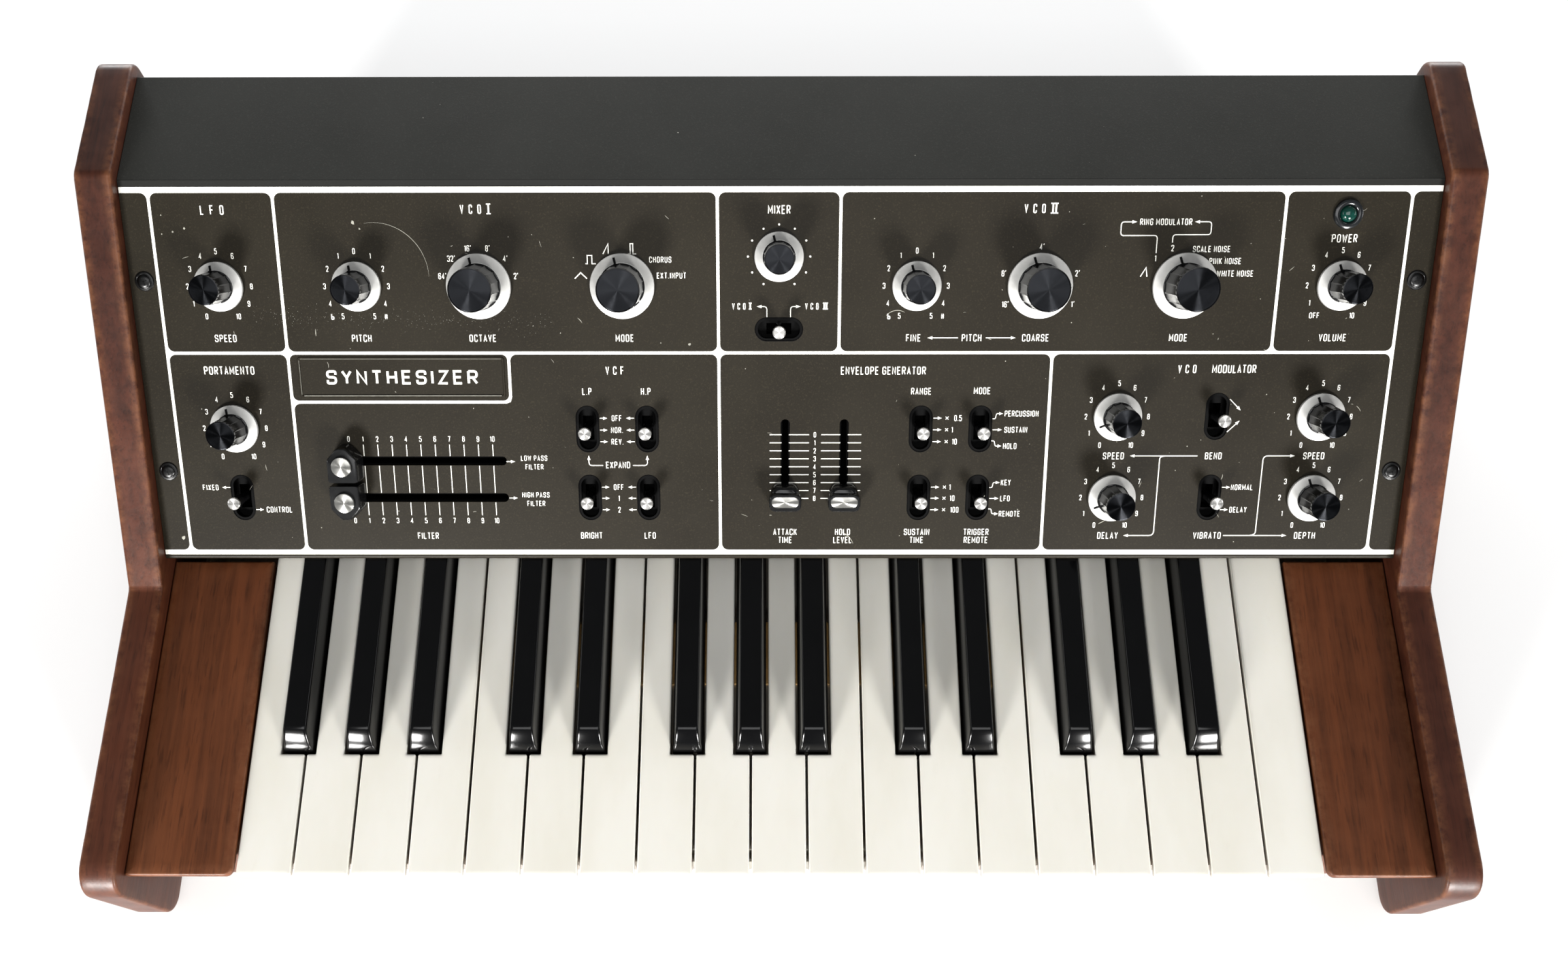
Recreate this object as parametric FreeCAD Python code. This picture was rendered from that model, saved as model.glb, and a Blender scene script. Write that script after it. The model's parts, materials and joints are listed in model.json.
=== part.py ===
import FreeCAD
import Part
import math
import os

os.makedirs("parts", exist_ok=True)

V = FreeCAD.Vector

# ---------------------------------------------------------------- driving sizes (mm)
white_pitch = 23.5            # centre to centre of the white keys
white_count = 19
key_gap = 1.1                 # air between neighbouring white keys
key_top_z = 62.0              # height of the white key tops above the table
key_front_y = -154.5
key_head_length = 50.5        # front of a white key to its notch
key_skirt = 18.0              # depth of the white key sides
key_lip = 5.0                 # overhang of the front edge over the front wall
key_travel_degrees = 2.5
notch_width = white_pitch - 8.7     # opening between two white key tails for a black key
black_base = notch_width - 2.0
black_top = black_base - 3.6
black_height = 9.3            # black key above the white key tops
key_under_z = key_top_z - key_skirt
black_under_z = key_under_z + 2.0
pivot_y = 62.0
pivot_z = key_under_z + 6.0
pivot_radius = 2.0
running_clearance = 0.05

block_width = 44.5            # wooden block beside the keys, with its air gaps
inner_width = white_pitch * white_count + 2 * block_width     # between the two end cheeks
across = inner_width / 535.5        # controls spread out with the width of the panel
cheek_thickness = 15.0
cheek_front_y = key_front_y - 9.0
cheek_base_z = 5.0
cheek_arm_z = key_top_z + 10.5      # top of the low front arm

panel_slope = 37.6            # degrees above level
panel_foot_y = -18.2
panel_foot_z = key_top_z + black_height + 2.9
panel_length = 154.8
up = panel_length / 154.8           # and with its length up the slope
panel_sheet = 1.5
cover_sheet = 1.2
side_gap = 0.25               # sheet metal to cheek
plate_z = 8.0                 # underside of the bottom plate
foot_radius = 9.0

row_upper = 115.0 * up        # heights up the panel, measured along the slope
row_mixer = 126.8 * up
row_mixer_lever = 97.2 * up
row_switch_high = 55.3 * up
row_switch_low = 25.5 * up
row_mod_high = 60.6 * up
row_portamento = 55.8 * up
slider_x_start = -183.6 * across
slider_x_travel = 61.0 * across
slider_low_pass_row = 41.6 * up
slider_high_pass_row = 25.5 * up
slider_v_start = 25.5 * up
slider_v_travel = 27.5 * up
attack_x = 2.8 * across
level_x = 27.8 * across

well_width = 9.8
well_length = 20.0
lever_tilt = 14.0
lever_pivot_depth = 8.0
lever_tip_height = 11.5

half_inner = inner_width / 2.0
half_sheet = half_inner - side_gap
slope_rad = math.radians(panel_slope)
panel_frame = FreeCAD.Placement(
    V(0, panel_foot_y, panel_foot_z),
    FreeCAD.Rotation(V(1, 0, 0), panel_slope),
)
panel_top_y = panel_foot_y + panel_length * math.cos(slope_rad)
panel_top_z = panel_foot_z + panel_length * math.sin(slope_rad)
cover_back_y = panel_top_y + 54.0
cheek_back_y = cover_back_y + 5.1
cheek_top_z = panel_top_z + 7.3     # level from the crest to the back


# ---------------------------------------------------------------- helpers
def box(x0, x1, y0, y1, z0, z1):
    return Part.makeBox(x1 - x0, y1 - y0, z1 - z0, V(x0, y0, z0))


def prism_x(points, x0, x1):
    """Solid made from a closed outline in the Y-Z plane, pulled along X."""
    ring = [V(x0, y, z) for y, z in points]
    ring.append(ring[0])
    return Part.Face(Part.makePolygon(ring)).extrude(V(x1 - x0, 0, 0))


def prism_z(points, z0, z1):
    """Solid made from a closed outline in the X-Y plane, pulled along Z."""
    ring = [V(x, y, z0) for x, y in points]
    ring.append(ring[0])
    return Part.Face(Part.makePolygon(ring)).extrude(V(0, 0, z1 - z0))


def cylinder(x, y, z, radius, height, direction=V(0, 0, 1)):
    return Part.makeCylinder(radius, height, V(x, y, z), direction)


def cone(x, y, z, radius_low, radius_high, height):
    return Part.makeCone(radius_low, radius_high, height, V(x, y, z), V(0, 0, 1))


def slab(cx, cy, width, length, corner, z0, z1):
    """Upright block with rounded corners, centred on cx, cy."""
    body = box(cx - width / 2, cx + width / 2, cy - length / 2, cy + length / 2, z0, z1)
    return round_edges(body, corner, lambda edge: upright(edge))


def upright(edge):
    a = edge.Vertexes[0].Point
    b = edge.Vertexes[-1].Point
    return abs(a.x - b.x) < 1e-6 and abs(a.y - b.y) < 1e-6


def round_edges(body, radius, wanted):
    chosen = [edge for edge in body.Edges if wanted(edge)]
    if not chosen:
        return body
    return body.makeFillet(radius, chosen)


def joined(shapes):
    first = shapes[0]
    if len(shapes) == 1:
        return first
    return first.multiFuse(shapes[1:]).removeSplitter()


def on_panel(shape):
    """Takes a shape drawn flat (X across, Y up the slope, Z out of the panel) to its place."""
    moved = shape.copy()
    moved.Placement = panel_frame.multiply(moved.Placement)
    return moved


def save(name, shapes):
    if not isinstance(shapes, list):
        shapes = [shapes]
    solids = []
    for shape in shapes:
        solids.extend(shape.Solids)
    if len(solids) == 1:
        result = solids[0]
    else:
        result = Part.makeCompound(solids)
    result.exportStep("parts/" + name + ".step")


# ---------------------------------------------------------------- control positions
small_knob = {"skirt": 10.1, "shoulder": 7.6, "grip": 6.2, "height": 17.3, "flutes": 10}
large_knob = {"skirt": 13.3, "shoulder": 10.4, "grip": 8.9, "height": 20.0, "flutes": 12}

knobs = {
    "knob_lfo_speed": (-230.8 * across, row_upper, small_knob, -15),
    "knob_osc1_pitch": (-174.0 * across, row_upper, small_knob, -15),
    "knob_osc1_octave": (-123.6 * across, row_upper, large_knob, -15),
    "knob_osc1_mode": (-64.5 * across, row_upper, large_knob, -15),
    "knob_mixer": (0.0, row_mixer, small_knob, -15),
    "knob_osc2_fine": (56.6 * across, row_upper, small_knob, -15),
    "knob_osc2_coarse": (107.2 * across, row_upper, large_knob, -15),
    "knob_osc2_mode": (166.5 * across, row_upper, large_knob, -15),
    "knob_volume": (230.8 * across, row_upper, small_knob, -15),
    "knob_portamento": (-230.8 * across, row_portamento, small_knob, -15),
    "knob_mod_speed": (143.0 * across, row_mod_high, small_knob, -119),
    "knob_mod_delay": (143.0 * across, row_switch_low, small_knob, -119),
    "knob_vibrato_speed": (228.4 * across, row_mod_high, small_knob, -15),
    "knob_vibrato_depth": (228.4 * across, row_switch_low, small_knob, -15),
}

levers = {
    "lever_mixer": (0.0, row_mixer_lever, True),
    "lever_portamento": (-230.8 * across, row_switch_low, False),
    "lever_low_pass": (-81.0 * across, row_switch_high, False),
    "lever_high_pass": (-55.8 * across, row_switch_high, False),
    "lever_bright": (-81.0 * across, row_switch_low, False),
    "lever_filter_lfo": (-55.8 * across, row_switch_low, False),
    "lever_envelope_range": (60.2 * across, row_switch_high, False),
    "lever_envelope_mode": (85.4 * across, row_switch_high, False),
    "lever_sustain_time": (60.2 * across, row_switch_low, False),
    "lever_trigger": (85.4 * across, row_switch_low, False),
    "lever_bend": (185.0 * across, row_mod_high, False),
    "lever_vibrato": (185.0 * across, row_switch_low, False),
}

side_sliders = {
    "slider_low_pass": (slider_low_pass_row, 1),
    "slider_high_pass": (slider_high_pass_row, -1),
}
upright_sliders = {"slider_attack": attack_x, "slider_level": level_x}

lamp_x = 230.2 * across
lamp_row = 143.4 * up
screw_x = half_sheet - 6.0
screw_places = [(-screw_x, 117.1 * up), (screw_x, 117.1 * up), (-screw_x, 37.1 * up), (screw_x, 37.1 * up)]
slot_half = 1.95


# ---------------------------------------------------------------- end cheeks
def cheek(side):
    kink_y = panel_foot_y - 15.2
    kink_z = panel_foot_z - 2.7
    crest_y = panel_top_y + 0.55
    outline = [
        (cheek_front_y, cheek_base_z),
        (cheek_back_y, cheek_base_z),
        (cheek_back_y, cheek_top_z),
        (crest_y, cheek_top_z),
        (kink_y, kink_z),
        (cheek_front_y, cheek_arm_z),
    ]
    x0 = half_inner if side > 0 else -half_inner - cheek_thickness
    body = prism_x(outline, x0, x0 + cheek_thickness)

    def corner(y, z):
        def test(edge):
            a = edge.Vertexes[0].Point
            b = edge.Vertexes[-1].Point
            along = abs(a.y - b.y) < 1e-6 and abs(a.z - b.z) < 1e-6
            return along and abs(a.y - y) < 1e-3 and abs(a.z - z) < 1e-3
        return test

    corner_radii = [
        (cheek_front_y, cheek_arm_z, 12.5),
        (cheek_front_y, cheek_base_z, 9.0),
        (cheek_back_y, cheek_base_z, 6.0),
        (cheek_back_y, cheek_top_z, 7.0),
        (crest_y, cheek_top_z, 7.0),
        (kink_y, kink_z, 5.0),
    ]
    for y, z, radius in corner_radii:
        body = round_edges(body, radius, corner(y, z))
    faces = [f for f in body.Faces if abs(abs(f.normalAt(0, 0).x) - 1.0) < 1e-6]
    rim = []
    for face in faces:
        rim.extend(face.Edges)
    return body.makeFillet(1.4, rim)


save("left_cheek", cheek(-1))
save("right_cheek", cheek(1))


# ---------------------------------------------------------------- key blocks beside the keys
def key_block(side):
    keys_edge = white_pitch * white_count / 2.0
    inner = keys_edge + 0.5
    outer = half_inner - 0.25
    top = key_top_z + 1.6
    front = key_front_y - 0.4
    back = panel_foot_y + 1.0
    outline = [
        (front, top),
        (front, top - 3.5),
        (front + 9.0, top - 5.5),
        (front + 9.0, plate_z + cover_sheet),
        (back, plate_z + cover_sheet),
        (back, top),
    ]
    x0 = inner if side > 0 else -outer
    x1 = outer if side > 0 else -inner
    body = prism_x(outline, x0, x1)
    near = inner * side

    def front_corner(edge):
        a = edge.Vertexes[0].Point
        ok = upright(edge) and abs(a.x - near) < 1e-3
        return ok and abs(a.y - front) < 1e-3
    body = round_edges(body, 3.0, front_corner)

    def top_rim(edge):
        a = edge.Vertexes[0].Point
        b = edge.Vertexes[-1].Point
        level = abs(a.z - top) < 1e-3 and abs(b.z - top) < 1e-3
        return level and min(a.y, b.y) < back - 5.0
    return round_edges(body, 0.8, top_rim)


save("left_key_block", key_block(-1))
save("right_key_block", key_block(1))


# ---------------------------------------------------------------- keys
# Notes from low F to high C; the black keys sit off centre as on any keyboard.
white_names = ["f", "g", "a", "b", "c", "d", "e"]
lean = white_pitch / 23.5
black_after = {"f": -3.2 * lean, "g": 0.0, "a": 3.0 * lean, "c": -2.1 * lean, "d": 2.6 * lean}
sharp_names = {"f": "f_sharp", "g": "g_sharp", "a": "a_sharp", "c": "c_sharp", "d": "d_sharp"}
keys_left = -white_pitch * white_count / 2.0
tail_back_y = pivot_y + 9.0
tail_wall = 1.4
boss_width = 8.6


def black_centre(index):
    """Centre of the black key between white key index and the next, or None."""
    name = white_names[index % 7]
    if index < 0 or index >= white_count - 1:
        return None
    if name not in black_after:
        return None
    return keys_left + (index + 1) * white_pitch + black_after[name]


def pivot_boss(centre, base_z):
    low = pivot_z - 6.0
    block = box(centre - boss_width / 2, centre + boss_width / 2,
                pivot_y - 14.0, tail_back_y, low, base_z)
    hole = cylinder(centre - 20, pivot_y, pivot_z, pivot_radius + running_clearance, 40, V(1, 0, 0))
    return block, hole


def white_key(index):
    left = keys_left + index * white_pitch + key_gap / 2
    right = keys_left + (index + 1) * white_pitch - key_gap / 2
    tail_left = left
    tail_right = right
    before = black_centre(index - 1)
    after = black_centre(index)
    if before is not None:
        tail_left = before + notch_width / 2
    if after is not None:
        tail_right = after - notch_width / 2
    notch_y = key_front_y + key_head_length
    low = key_top_z - key_skirt
    narrow_y = pivot_y - 18.0
    outline = [
        (left, key_front_y),
        (right, key_front_y),
        (right, notch_y),
        (tail_right, notch_y),
        (tail_right, narrow_y),
        (tail_left, narrow_y),
        (tail_left, notch_y),
        (left, notch_y),
    ]
    points = [outline[0]]
    for point in outline[1:]:
        if math.hypot(point[0] - points[-1][0], point[1] - points[-1][1]) > 0.01:
            points.append(point)
    top = prism_z(points, key_top_z - 3.0, key_top_z)
    front_edge = [e for e in top.Edges if is_front_top(e)]
    top = top.makeFillet(1.2, front_edge)
    head = box(left, right, key_front_y + key_lip, notch_y, low, key_top_z - 2.0)
    head_hollow = box(left + tail_wall, right - tail_wall, key_front_y + key_lip + tail_wall,
                      notch_y + 1, low - 1, key_top_z - 3.0)
    tail = box(tail_left, tail_right, notch_y - 4, narrow_y, low, key_top_z - 2.0)
    tail_hollow = box(tail_left + tail_wall, tail_right - tail_wall, notch_y - 5,
                      narrow_y - tail_wall, low - 1, key_top_z - 3.0)
    shell = joined([head, tail]).cut(joined([head_hollow, tail_hollow]))
    centre = (tail_left + tail_right) / 2
    block, hole = pivot_boss(centre, key_top_z)
    link = box(centre - boss_width / 2, centre + boss_width / 2,
               narrow_y - 4, pivot_y - 10, low, key_top_z)
    key = joined([top, shell, link, block]).cut(hole)
    return key, centre


def is_front_top(edge):
    a = edge.Vertexes[0].Point
    b = edge.Vertexes[-1].Point
    on_front = abs(a.y - key_front_y) < 1e-3 and abs(b.y - key_front_y) < 1e-3
    return on_front and abs(a.z - key_top_z) < 1e-3 and abs(b.z - key_top_z) < 1e-3


def black_key(centre):
    nose_y = key_front_y + key_head_length + 1.0
    cap_back = panel_foot_y + 22.0
    base_z = key_top_z - 12.0
    top_z = key_top_z + black_height
    half_base = black_base / 2
    half_top = black_top / 2
    mid_z = key_top_z - 1.0

    def ring(half, y0, y1, z):
        pts = [V(centre - half, y0, z), V(centre + half, y0, z),
               V(centre + half, y1, z), V(centre - half, y1, z)]
        pts.append(pts[0])
        return Part.makePolygon(pts)
    lower = box(centre - half_base, centre + half_base, nose_y, cap_back, base_z, mid_z)
    upper = Part.makeLoft([ring(half_base, nose_y, cap_back, mid_z),
                           ring(half_top, nose_y + 7.6, cap_back, top_z)], True, True)
    cap = lower.fuse(upper).removeSplitter()

    def crown(edge):
        a = edge.Vertexes[0].Point
        b = edge.Vertexes[-1].Point
        return abs(a.z - top_z) < 1e-3 and abs(b.z - top_z) < 1e-3 and min(a.y, b.y) < cap_back - 1
    cap = round_edges(cap, 0.9, crown)
    narrow_y = pivot_y - 18.0
    arm = box(centre - half_base, centre + half_base, cap_back - 6, narrow_y, black_under_z, key_top_z - 3.0)
    hollow = box(centre - half_base + tail_wall, centre + half_base - tail_wall,
                 cap_back, narrow_y - tail_wall, black_under_z - 1.0, key_top_z - 6.0)
    under = box(centre - half_base, centre + half_base, nose_y + 2, cap_back, black_under_z, base_z + 1)
    block, hole = pivot_boss(centre, key_top_z - 3.0)
    link = box(centre - boss_width / 2, centre + boss_width / 2,
               narrow_y - 4, pivot_y - 10, black_under_z, key_top_z - 3.0)
    core = box(centre - half_base + 2, centre + half_base - 2,
               nose_y + 6, cap_back - 10, black_under_z - 1.0, key_top_z + 1.0)
    key = joined([cap, arm.cut(hollow), under, link, block]).cut(core).cut(hole)
    return key


key_sets = {}
key_centres = []
for number in range(white_count):
    name = white_names[number % 7]
    body, middle = white_key(number)
    key_sets.setdefault("keys_" + name, []).append(body)
    key_centres.append(middle)
    gap_centre = black_centre(number)
    if gap_centre is not None:
        key_sets.setdefault("keys_" + sharp_names[name], []).append(black_key(gap_centre))
        key_centres.append(gap_centre)
for name, bodies in key_sets.items():
    save(name, bodies)


# ---------------------------------------------------------------- keybed, pivot rod and springs
frame_half = keys_left * -1.0 - 1.0
bed_z = 14.0
bed_sheet = 1.6
bed_front = key_front_y + 16.0
bed_back = pivot_y + 16.0
bed_parts = [
    box(-frame_half, frame_half, bed_front, bed_back, bed_z, bed_z + bed_sheet),
    box(-frame_half, frame_half, bed_front, bed_front + bed_sheet, bed_z, key_under_z - 13.0),
    box(-frame_half, frame_half, bed_back - bed_sheet, bed_back, bed_z, key_under_z - 8.0),
]
key_centres.sort()
bracket_slots = [-frame_half - 0.3]
for position in (6, 12, 18, 25):
    bracket_slots.append((key_centres[position] + key_centres[position + 1]) / 2)
bracket_slots.append(frame_half + 0.3)
for place in bracket_slots:
    plate = box(place - 1.0, place + 1.0, pivot_y - 7.0, bed_back, bed_z, pivot_z + 6.0)
    bed_parts.append(plate)
for place in (-150.0, -50.0, 50.0, 150.0):
    for depth in (bed_front + 14.0, pivot_y - 60.0):
        bed_parts.append(cylinder(place, depth, plate_z + cover_sheet, 4.0, bed_z - plate_z - cover_sheet + 0.5))
keybed = joined(bed_parts)
rod = cylinder(-frame_half - 3.0, pivot_y, pivot_z, pivot_radius, 2 * frame_half + 6.0, V(1, 0, 0))
keybed = keybed.cut(rod)
save("keybed_frame", [keybed, rod])

spring_root = pivot_y - 34.0
spring_strip = box(-frame_half + 4, frame_half - 4, spring_root, spring_root + 10.0,
                   bed_z + bed_sheet, bed_z + bed_sheet + 0.6)
fingers = [spring_strip]
for centre in key_centres:
    outline = [
        (spring_root + 6.0, bed_z + bed_sheet + 0.3),
        (spring_root + 7.0, bed_z + bed_sheet + 0.3),
        (pivot_y - 11.0, pivot_z - 7.3),
        (pivot_y - 8.0, pivot_z - 7.3),
        (pivot_y - 8.0, pivot_z - 6.7),
        (pivot_y - 11.4, pivot_z - 6.7),
    ]
    fingers.append(prism_x(outline, centre - 2.5, centre + 2.5))
save("key_springs", joined(fingers))


# ---------------------------------------------------------------- control panel
lip_roll = 2.0
panel = box(-half_sheet, half_sheet, -lip_roll, panel_length - 0.2, -panel_sheet, 0.0)


def lower_edge(edge):
    a = edge.Vertexes[0].Point
    b = edge.Vertexes[-1].Point
    low = abs(a.y + lip_roll) < 1e-3 and abs(b.y + lip_roll) < 1e-3
    return low and abs(a.z) < 1e-3 and abs(b.z) < 1e-3


panel = round_edges(panel, 1.2, lower_edge)
bush_radius = 3.9
openings = []
for x, row, style, pointer in knobs.values():
    openings.append(cylinder(x, row, -5, bush_radius + 0.1, 10))
for x, row, sideways in levers.values():
    wide = well_length if sideways else well_width
    tall = well_width if sideways else well_length
    openings.append(slab(x, row, wide, tall, well_width / 2 - 0.05, -5, 5))
slot_reach = 6.5
for row, point in side_sliders.values():
    x0 = slider_x_start - slot_reach
    x1 = slider_x_start + slider_x_travel + slot_reach
    openings.append(slab((x0 + x1) / 2, row, x1 - x0, 2 * slot_half, slot_half - 0.05, -5, 5))
for x in upright_sliders.values():
    y0 = slider_v_start - slot_reach
    y1 = slider_v_start + slider_v_travel + slot_reach
    openings.append(slab(x, (y0 + y1) / 2, 2 * slot_half, y1 - y0, slot_half - 0.05, -5, 5))
openings.append(cylinder(lamp_x, lamp_row, -5, 5.0, 10))
for x, row in screw_places:
    openings.append(cylinder(x, row, -5, 1.6, 10))
panel = panel.cut(Part.makeCompound(openings))
# Folded side flanges stiffen the sheet and carry the fixing screws.
for side in (-1, 1):
    x0 = half_sheet - 1.5 if side > 0 else -half_sheet
    flange = box(x0, x0 + 1.5, 24.0, panel_length - 14.0, -12.0, -panel_sheet + 0.2)
    panel = panel.fuse(flange)
save("front_panel", on_panel(panel.removeSplitter()))

screw_bodies = []
for x, row in screw_places:
    dish = cone(x, row, 0.0, 4.0, 2.9, 0.9)
    head = cylinder(x, row, 0.85, 2.6, 0.5)
    shank = cylinder(x, row, -9.0, 1.5, 9.2)
    screw = joined([dish, head, shank])
    cross_a = box(x - 1.7, x + 1.7, row - 0.35, row + 0.35, 0.7, 2.0)
    cross_b = box(x - 0.35, x + 0.35, row - 1.7, row + 1.7, 0.7, 2.0)
    screw_bodies.append(on_panel(screw.cut(joined([cross_a, cross_b]))))
save("panel_screws", screw_bodies)

bezel = cylinder(lamp_x, lamp_row, 0.0, 6.0, 1.6).fuse(cylinder(lamp_x, lamp_row, -9.0, 4.9, 9.2))
bezel = bezel.removeSplitter().cut(cylinder(lamp_x, lamp_row, -10.0, 3.1, 15))
lens_dome = Part.makeSphere(3.6, V(lamp_x, lamp_row, -0.6))
lens_body = cylinder(lamp_x, lamp_row, -8.0, 3.0, 8.0)
lens = lens_body.fuse(lens_dome.common(cylinder(lamp_x, lamp_row, -0.5, 3.0, 6.0))).removeSplitter()
save("power_lamp", [on_panel(bezel), on_panel(lens)])


# ---------------------------------------------------------------- knobs with their shafts
def knob(style, pointer_angle):
    base = 0.5
    skirt = cylinder(0, 0, base, style["skirt"], 1.4)
    skirt = skirt.fuse(cone(0, 0, base + 1.4, style["skirt"], style["shoulder"], 2.4))
    grip_low = base + 3.8
    grip = cone(0, 0, grip_low, style["grip"] + 0.35, style["grip"], style["height"] - grip_low)
    grip = grip.makeFillet(0.6, [e for e in grip.Edges if abs(e.BoundBox.ZMin - style["height"]) < 1e-3])
    cutters = []
    for i in range(style["flutes"]):
        a = 2 * math.pi * (i + 0.5) / style["flutes"]
        r = style["grip"] + 1.35
        cutters.append(cylinder(r * math.sin(a), r * math.cos(a), grip_low + 1.2, 1.9, 40))
    grip = grip.cut(Part.makeCompound(cutters))
    recess = cylinder(0, 0, style["height"] - 0.35, style["grip"] - 1.3, 2.0)
    grip = grip.cut(recess)
    body = skirt.fuse(grip).removeSplitter()
    body = body.cut(cylinder(0, 0, -1, 3.0, 13.0))
    reach = style["skirt"] - 0.4
    groove = box(-0.5, 0.5, style["grip"] + 0.9, reach, base + 2.2, base + 5.0)
    body = body.cut(groove)
    body.rotate(V(0, 0, 0), V(0, 0, 1), -pointer_angle)
    shaft = cylinder(0, 0, -14.0, 3.0, 26.0)
    return [body, shaft]


pot_bodies = []
for name, (x, row, style, pointer) in knobs.items():
    pieces = []
    for piece in knob(style, pointer):
        piece.translate(V(x, row, 0))
        pieces.append(on_panel(piece))
    save(name, pieces)
    # Fixed body of the control: round case, threaded bush and a nut inside the skirt.
    case_radius = 8.0 if style is small_knob else 11.0
    case = cylinder(x, row, -15.5, case_radius, 12.5)
    collar = cylinder(x, row, -3.1, 6.0, 1.6)
    bush = cylinder(x, row, -15.0, bush_radius, 15.2)
    body = joined([case, collar, bush])
    body = body.cut(cylinder(x, row, -14.5, 3.0 + running_clearance, 20))
    tabs = box(x - 6.0, x + 6.0, row - case_radius - 4.5, row - case_radius + 2.5, -12.0, -10.5)
    body = body.fuse(tabs).cut(cylinder(x, row, -14.5, 3.0 + running_clearance, 20))
    pot_bodies.append(on_panel(body.removeSplitter()))
save("rotary_control_bodies", pot_bodies)


# ---------------------------------------------------------------- lever switches
def lever_shape():
    """Upright lever that rocks about the X axis through its pivot."""
    foot = cylinder(0, 0, -lever_pivot_depth - 3.0, 1.9, 3.0 + lever_pivot_depth)
    bat = cone(0, 0, 0.0, 1.9, 2.7, lever_tip_height - 0.7)
    crown = cone(0, 0, lever_tip_height - 0.7, 2.7, 2.3, 0.7)
    reach = well_width / 2 - 0.5
    axle = cylinder(-reach, 0, -lever_pivot_depth, 1.2, 2 * reach, V(1, 0, 0))
    return joined([foot, bat, crown, axle])


def switch_shape():
    """Black moulded well that fills the panel opening, with the axle bores in its sides."""
    outer = slab(0, 0, well_width - 0.2, well_length - 0.2, well_width / 2 - 0.15, -14.0, -0.1)
    rim_x = well_width / 2 + 3.1
    rim_y = well_length / 2 + 3.0
    rim = box(-rim_x, rim_x, -rim_y, rim_y, -4.0, -panel_sheet - 0.05)
    body = joined([outer, rim])
    dish = slab(0, 0, well_width - 2.4, well_length - 2.4, well_width / 2 - 1.25, -3.4, 2.0)
    swing = box(-2.3, 2.3, -5.2, 5.2, -12.6, 0.5)
    bore_half = well_width / 2 - 0.4
    bore = cylinder(-bore_half, 0, -lever_pivot_depth, 1.2 + running_clearance, 2 * bore_half, V(1, 0, 0))
    return body.cut(joined([dish, swing])).cut(bore)


switch_bodies = []
for name, (x, row, sideways) in levers.items():
    handle = lever_shape()
    housing = switch_shape()
    for shape in (handle, housing):
        if sideways:
            shape.rotate(V(0, 0, 0), V(0, 0, 1), 90)
        shape.translate(V(x, row, 0))
    save(name, on_panel(handle))
    switch_bodies.append(on_panel(housing))
save("lever_switch_bodies", switch_bodies)


# ---------------------------------------------------------------- sliders
def slider_cap(point):
    """Cap for a sideways slider: tapered block with one peaked side, a round top and a stem."""
    def ring(grow, z):
        outline = [
            (-5.6 - grow, -7.0 * point),
            (5.6 + grow, -7.0 * point),
            (5.6 + grow, (2.2 + grow) * point),
            (1.8, (7.0 + grow) * point),
            (-1.8, (7.0 + grow) * point),
            (-5.6 - grow, (2.2 + grow) * point),
        ]
        points = [V(x, y, z) for x, y in outline]
        points.append(points[0])
        return Part.makePolygon(points)
    block = Part.makeLoft([ring(0.8, 0.6), ring(0.0, 9.6)], True, True)
    button = cone(0, 0, 9.4, 4.4, 4.0, 1.6)
    stem = box(-1.5, 1.5, -0.9, 0.9, -9.0, 1.0)
    return joined([block, button, stem])


def upright_cap():
    base = slab(0, 0.8, 13.4, 11.0, 3.2, 0.6, 7.4)
    block = slab(0, 0, 12.4, 5.0, 2.3, 7.2, 10.6)
    stem = box(-0.9, 0.9, -1.5, 1.5, -9.0, 1.0)
    return joined([base, block, stem])


def slide_body(x0, x1, y0, y1, along_x):
    case = box(x0, x1, y0, y1, -12.0, -panel_sheet - 0.05)
    cx = (x0 + x1) / 2
    cy = (y0 + y1) / 2
    if along_x:
        channel = box(x0 + 2.0, x1 - 2.0, cy - 1.25, cy + 1.25, -10.5, 0)
    else:
        channel = box(cx - 1.25, cx + 1.25, y0 + 2.0, y1 - 2.0, -10.5, 0)
    return case.cut(channel)


slide_bodies = []
for name, (row, point) in side_sliders.items():
    cap = slider_cap(point)
    cap.translate(V(slider_x_start, row, 0))
    save(name, on_panel(cap))
    body = slide_body(slider_x_start - 9.0, slider_x_start + slider_x_travel + 9.0,
                      row - 4.5, row + 4.5, True)
    slide_bodies.append(on_panel(body))
for name, x in upright_sliders.items():
    cap = upright_cap()
    cap.translate(V(x, slider_v_start, 0))
    save(name, on_panel(cap))
    body = slide_body(x - 4.5, x + 4.5, slider_v_start - 9.0,
                      slider_v_start + slider_v_travel + 9.0, False)
    slide_bodies.append(on_panel(body))
save("slide_pot_bodies", slide_bodies)


# ---------------------------------------------------------------- top cover and back, one bent sheet
fold_y = panel_top_y + 1.7
cover_top_z = panel_top_z + 1.6
tail_y = panel_top_y + cover_sheet * math.sin(slope_rad)
tail_z = panel_top_z - cover_sheet * math.cos(slope_rad)
cover_outline = [
    (panel_top_y, panel_top_z),
    (fold_y, cover_top_z),
    (cover_back_y - 0.8, cover_top_z),
    (cover_back_y, cover_top_z - 0.8),
    (cover_back_y, plate_z + 3.0),
    (cover_back_y - cover_sheet, plate_z + 3.0),
    (cover_back_y - cover_sheet, cover_top_z - cover_sheet - 0.5),
    (cover_back_y - cover_sheet - 0.5, cover_top_z - cover_sheet),
    (fold_y + 0.4, cover_top_z - cover_sheet),
    (tail_y, tail_z),
]
cover = prism_x(cover_outline, -half_sheet, half_sheet)
jack_radius = 3.2
jack_x = [-225.0, -197.0, -169.0, -141.0]
jack_z = 46.0
cord_x = 215.0
rear_openings = []
for x in jack_x:
    rear_openings.append(cylinder(x, cover_back_y - 5, jack_z, 5.1, 10, V(0, 1, 0)))
rear_openings.append(cylinder(cord_x, cover_back_y - 5, jack_z, 6.1, 10, V(0, 1, 0)))
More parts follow.
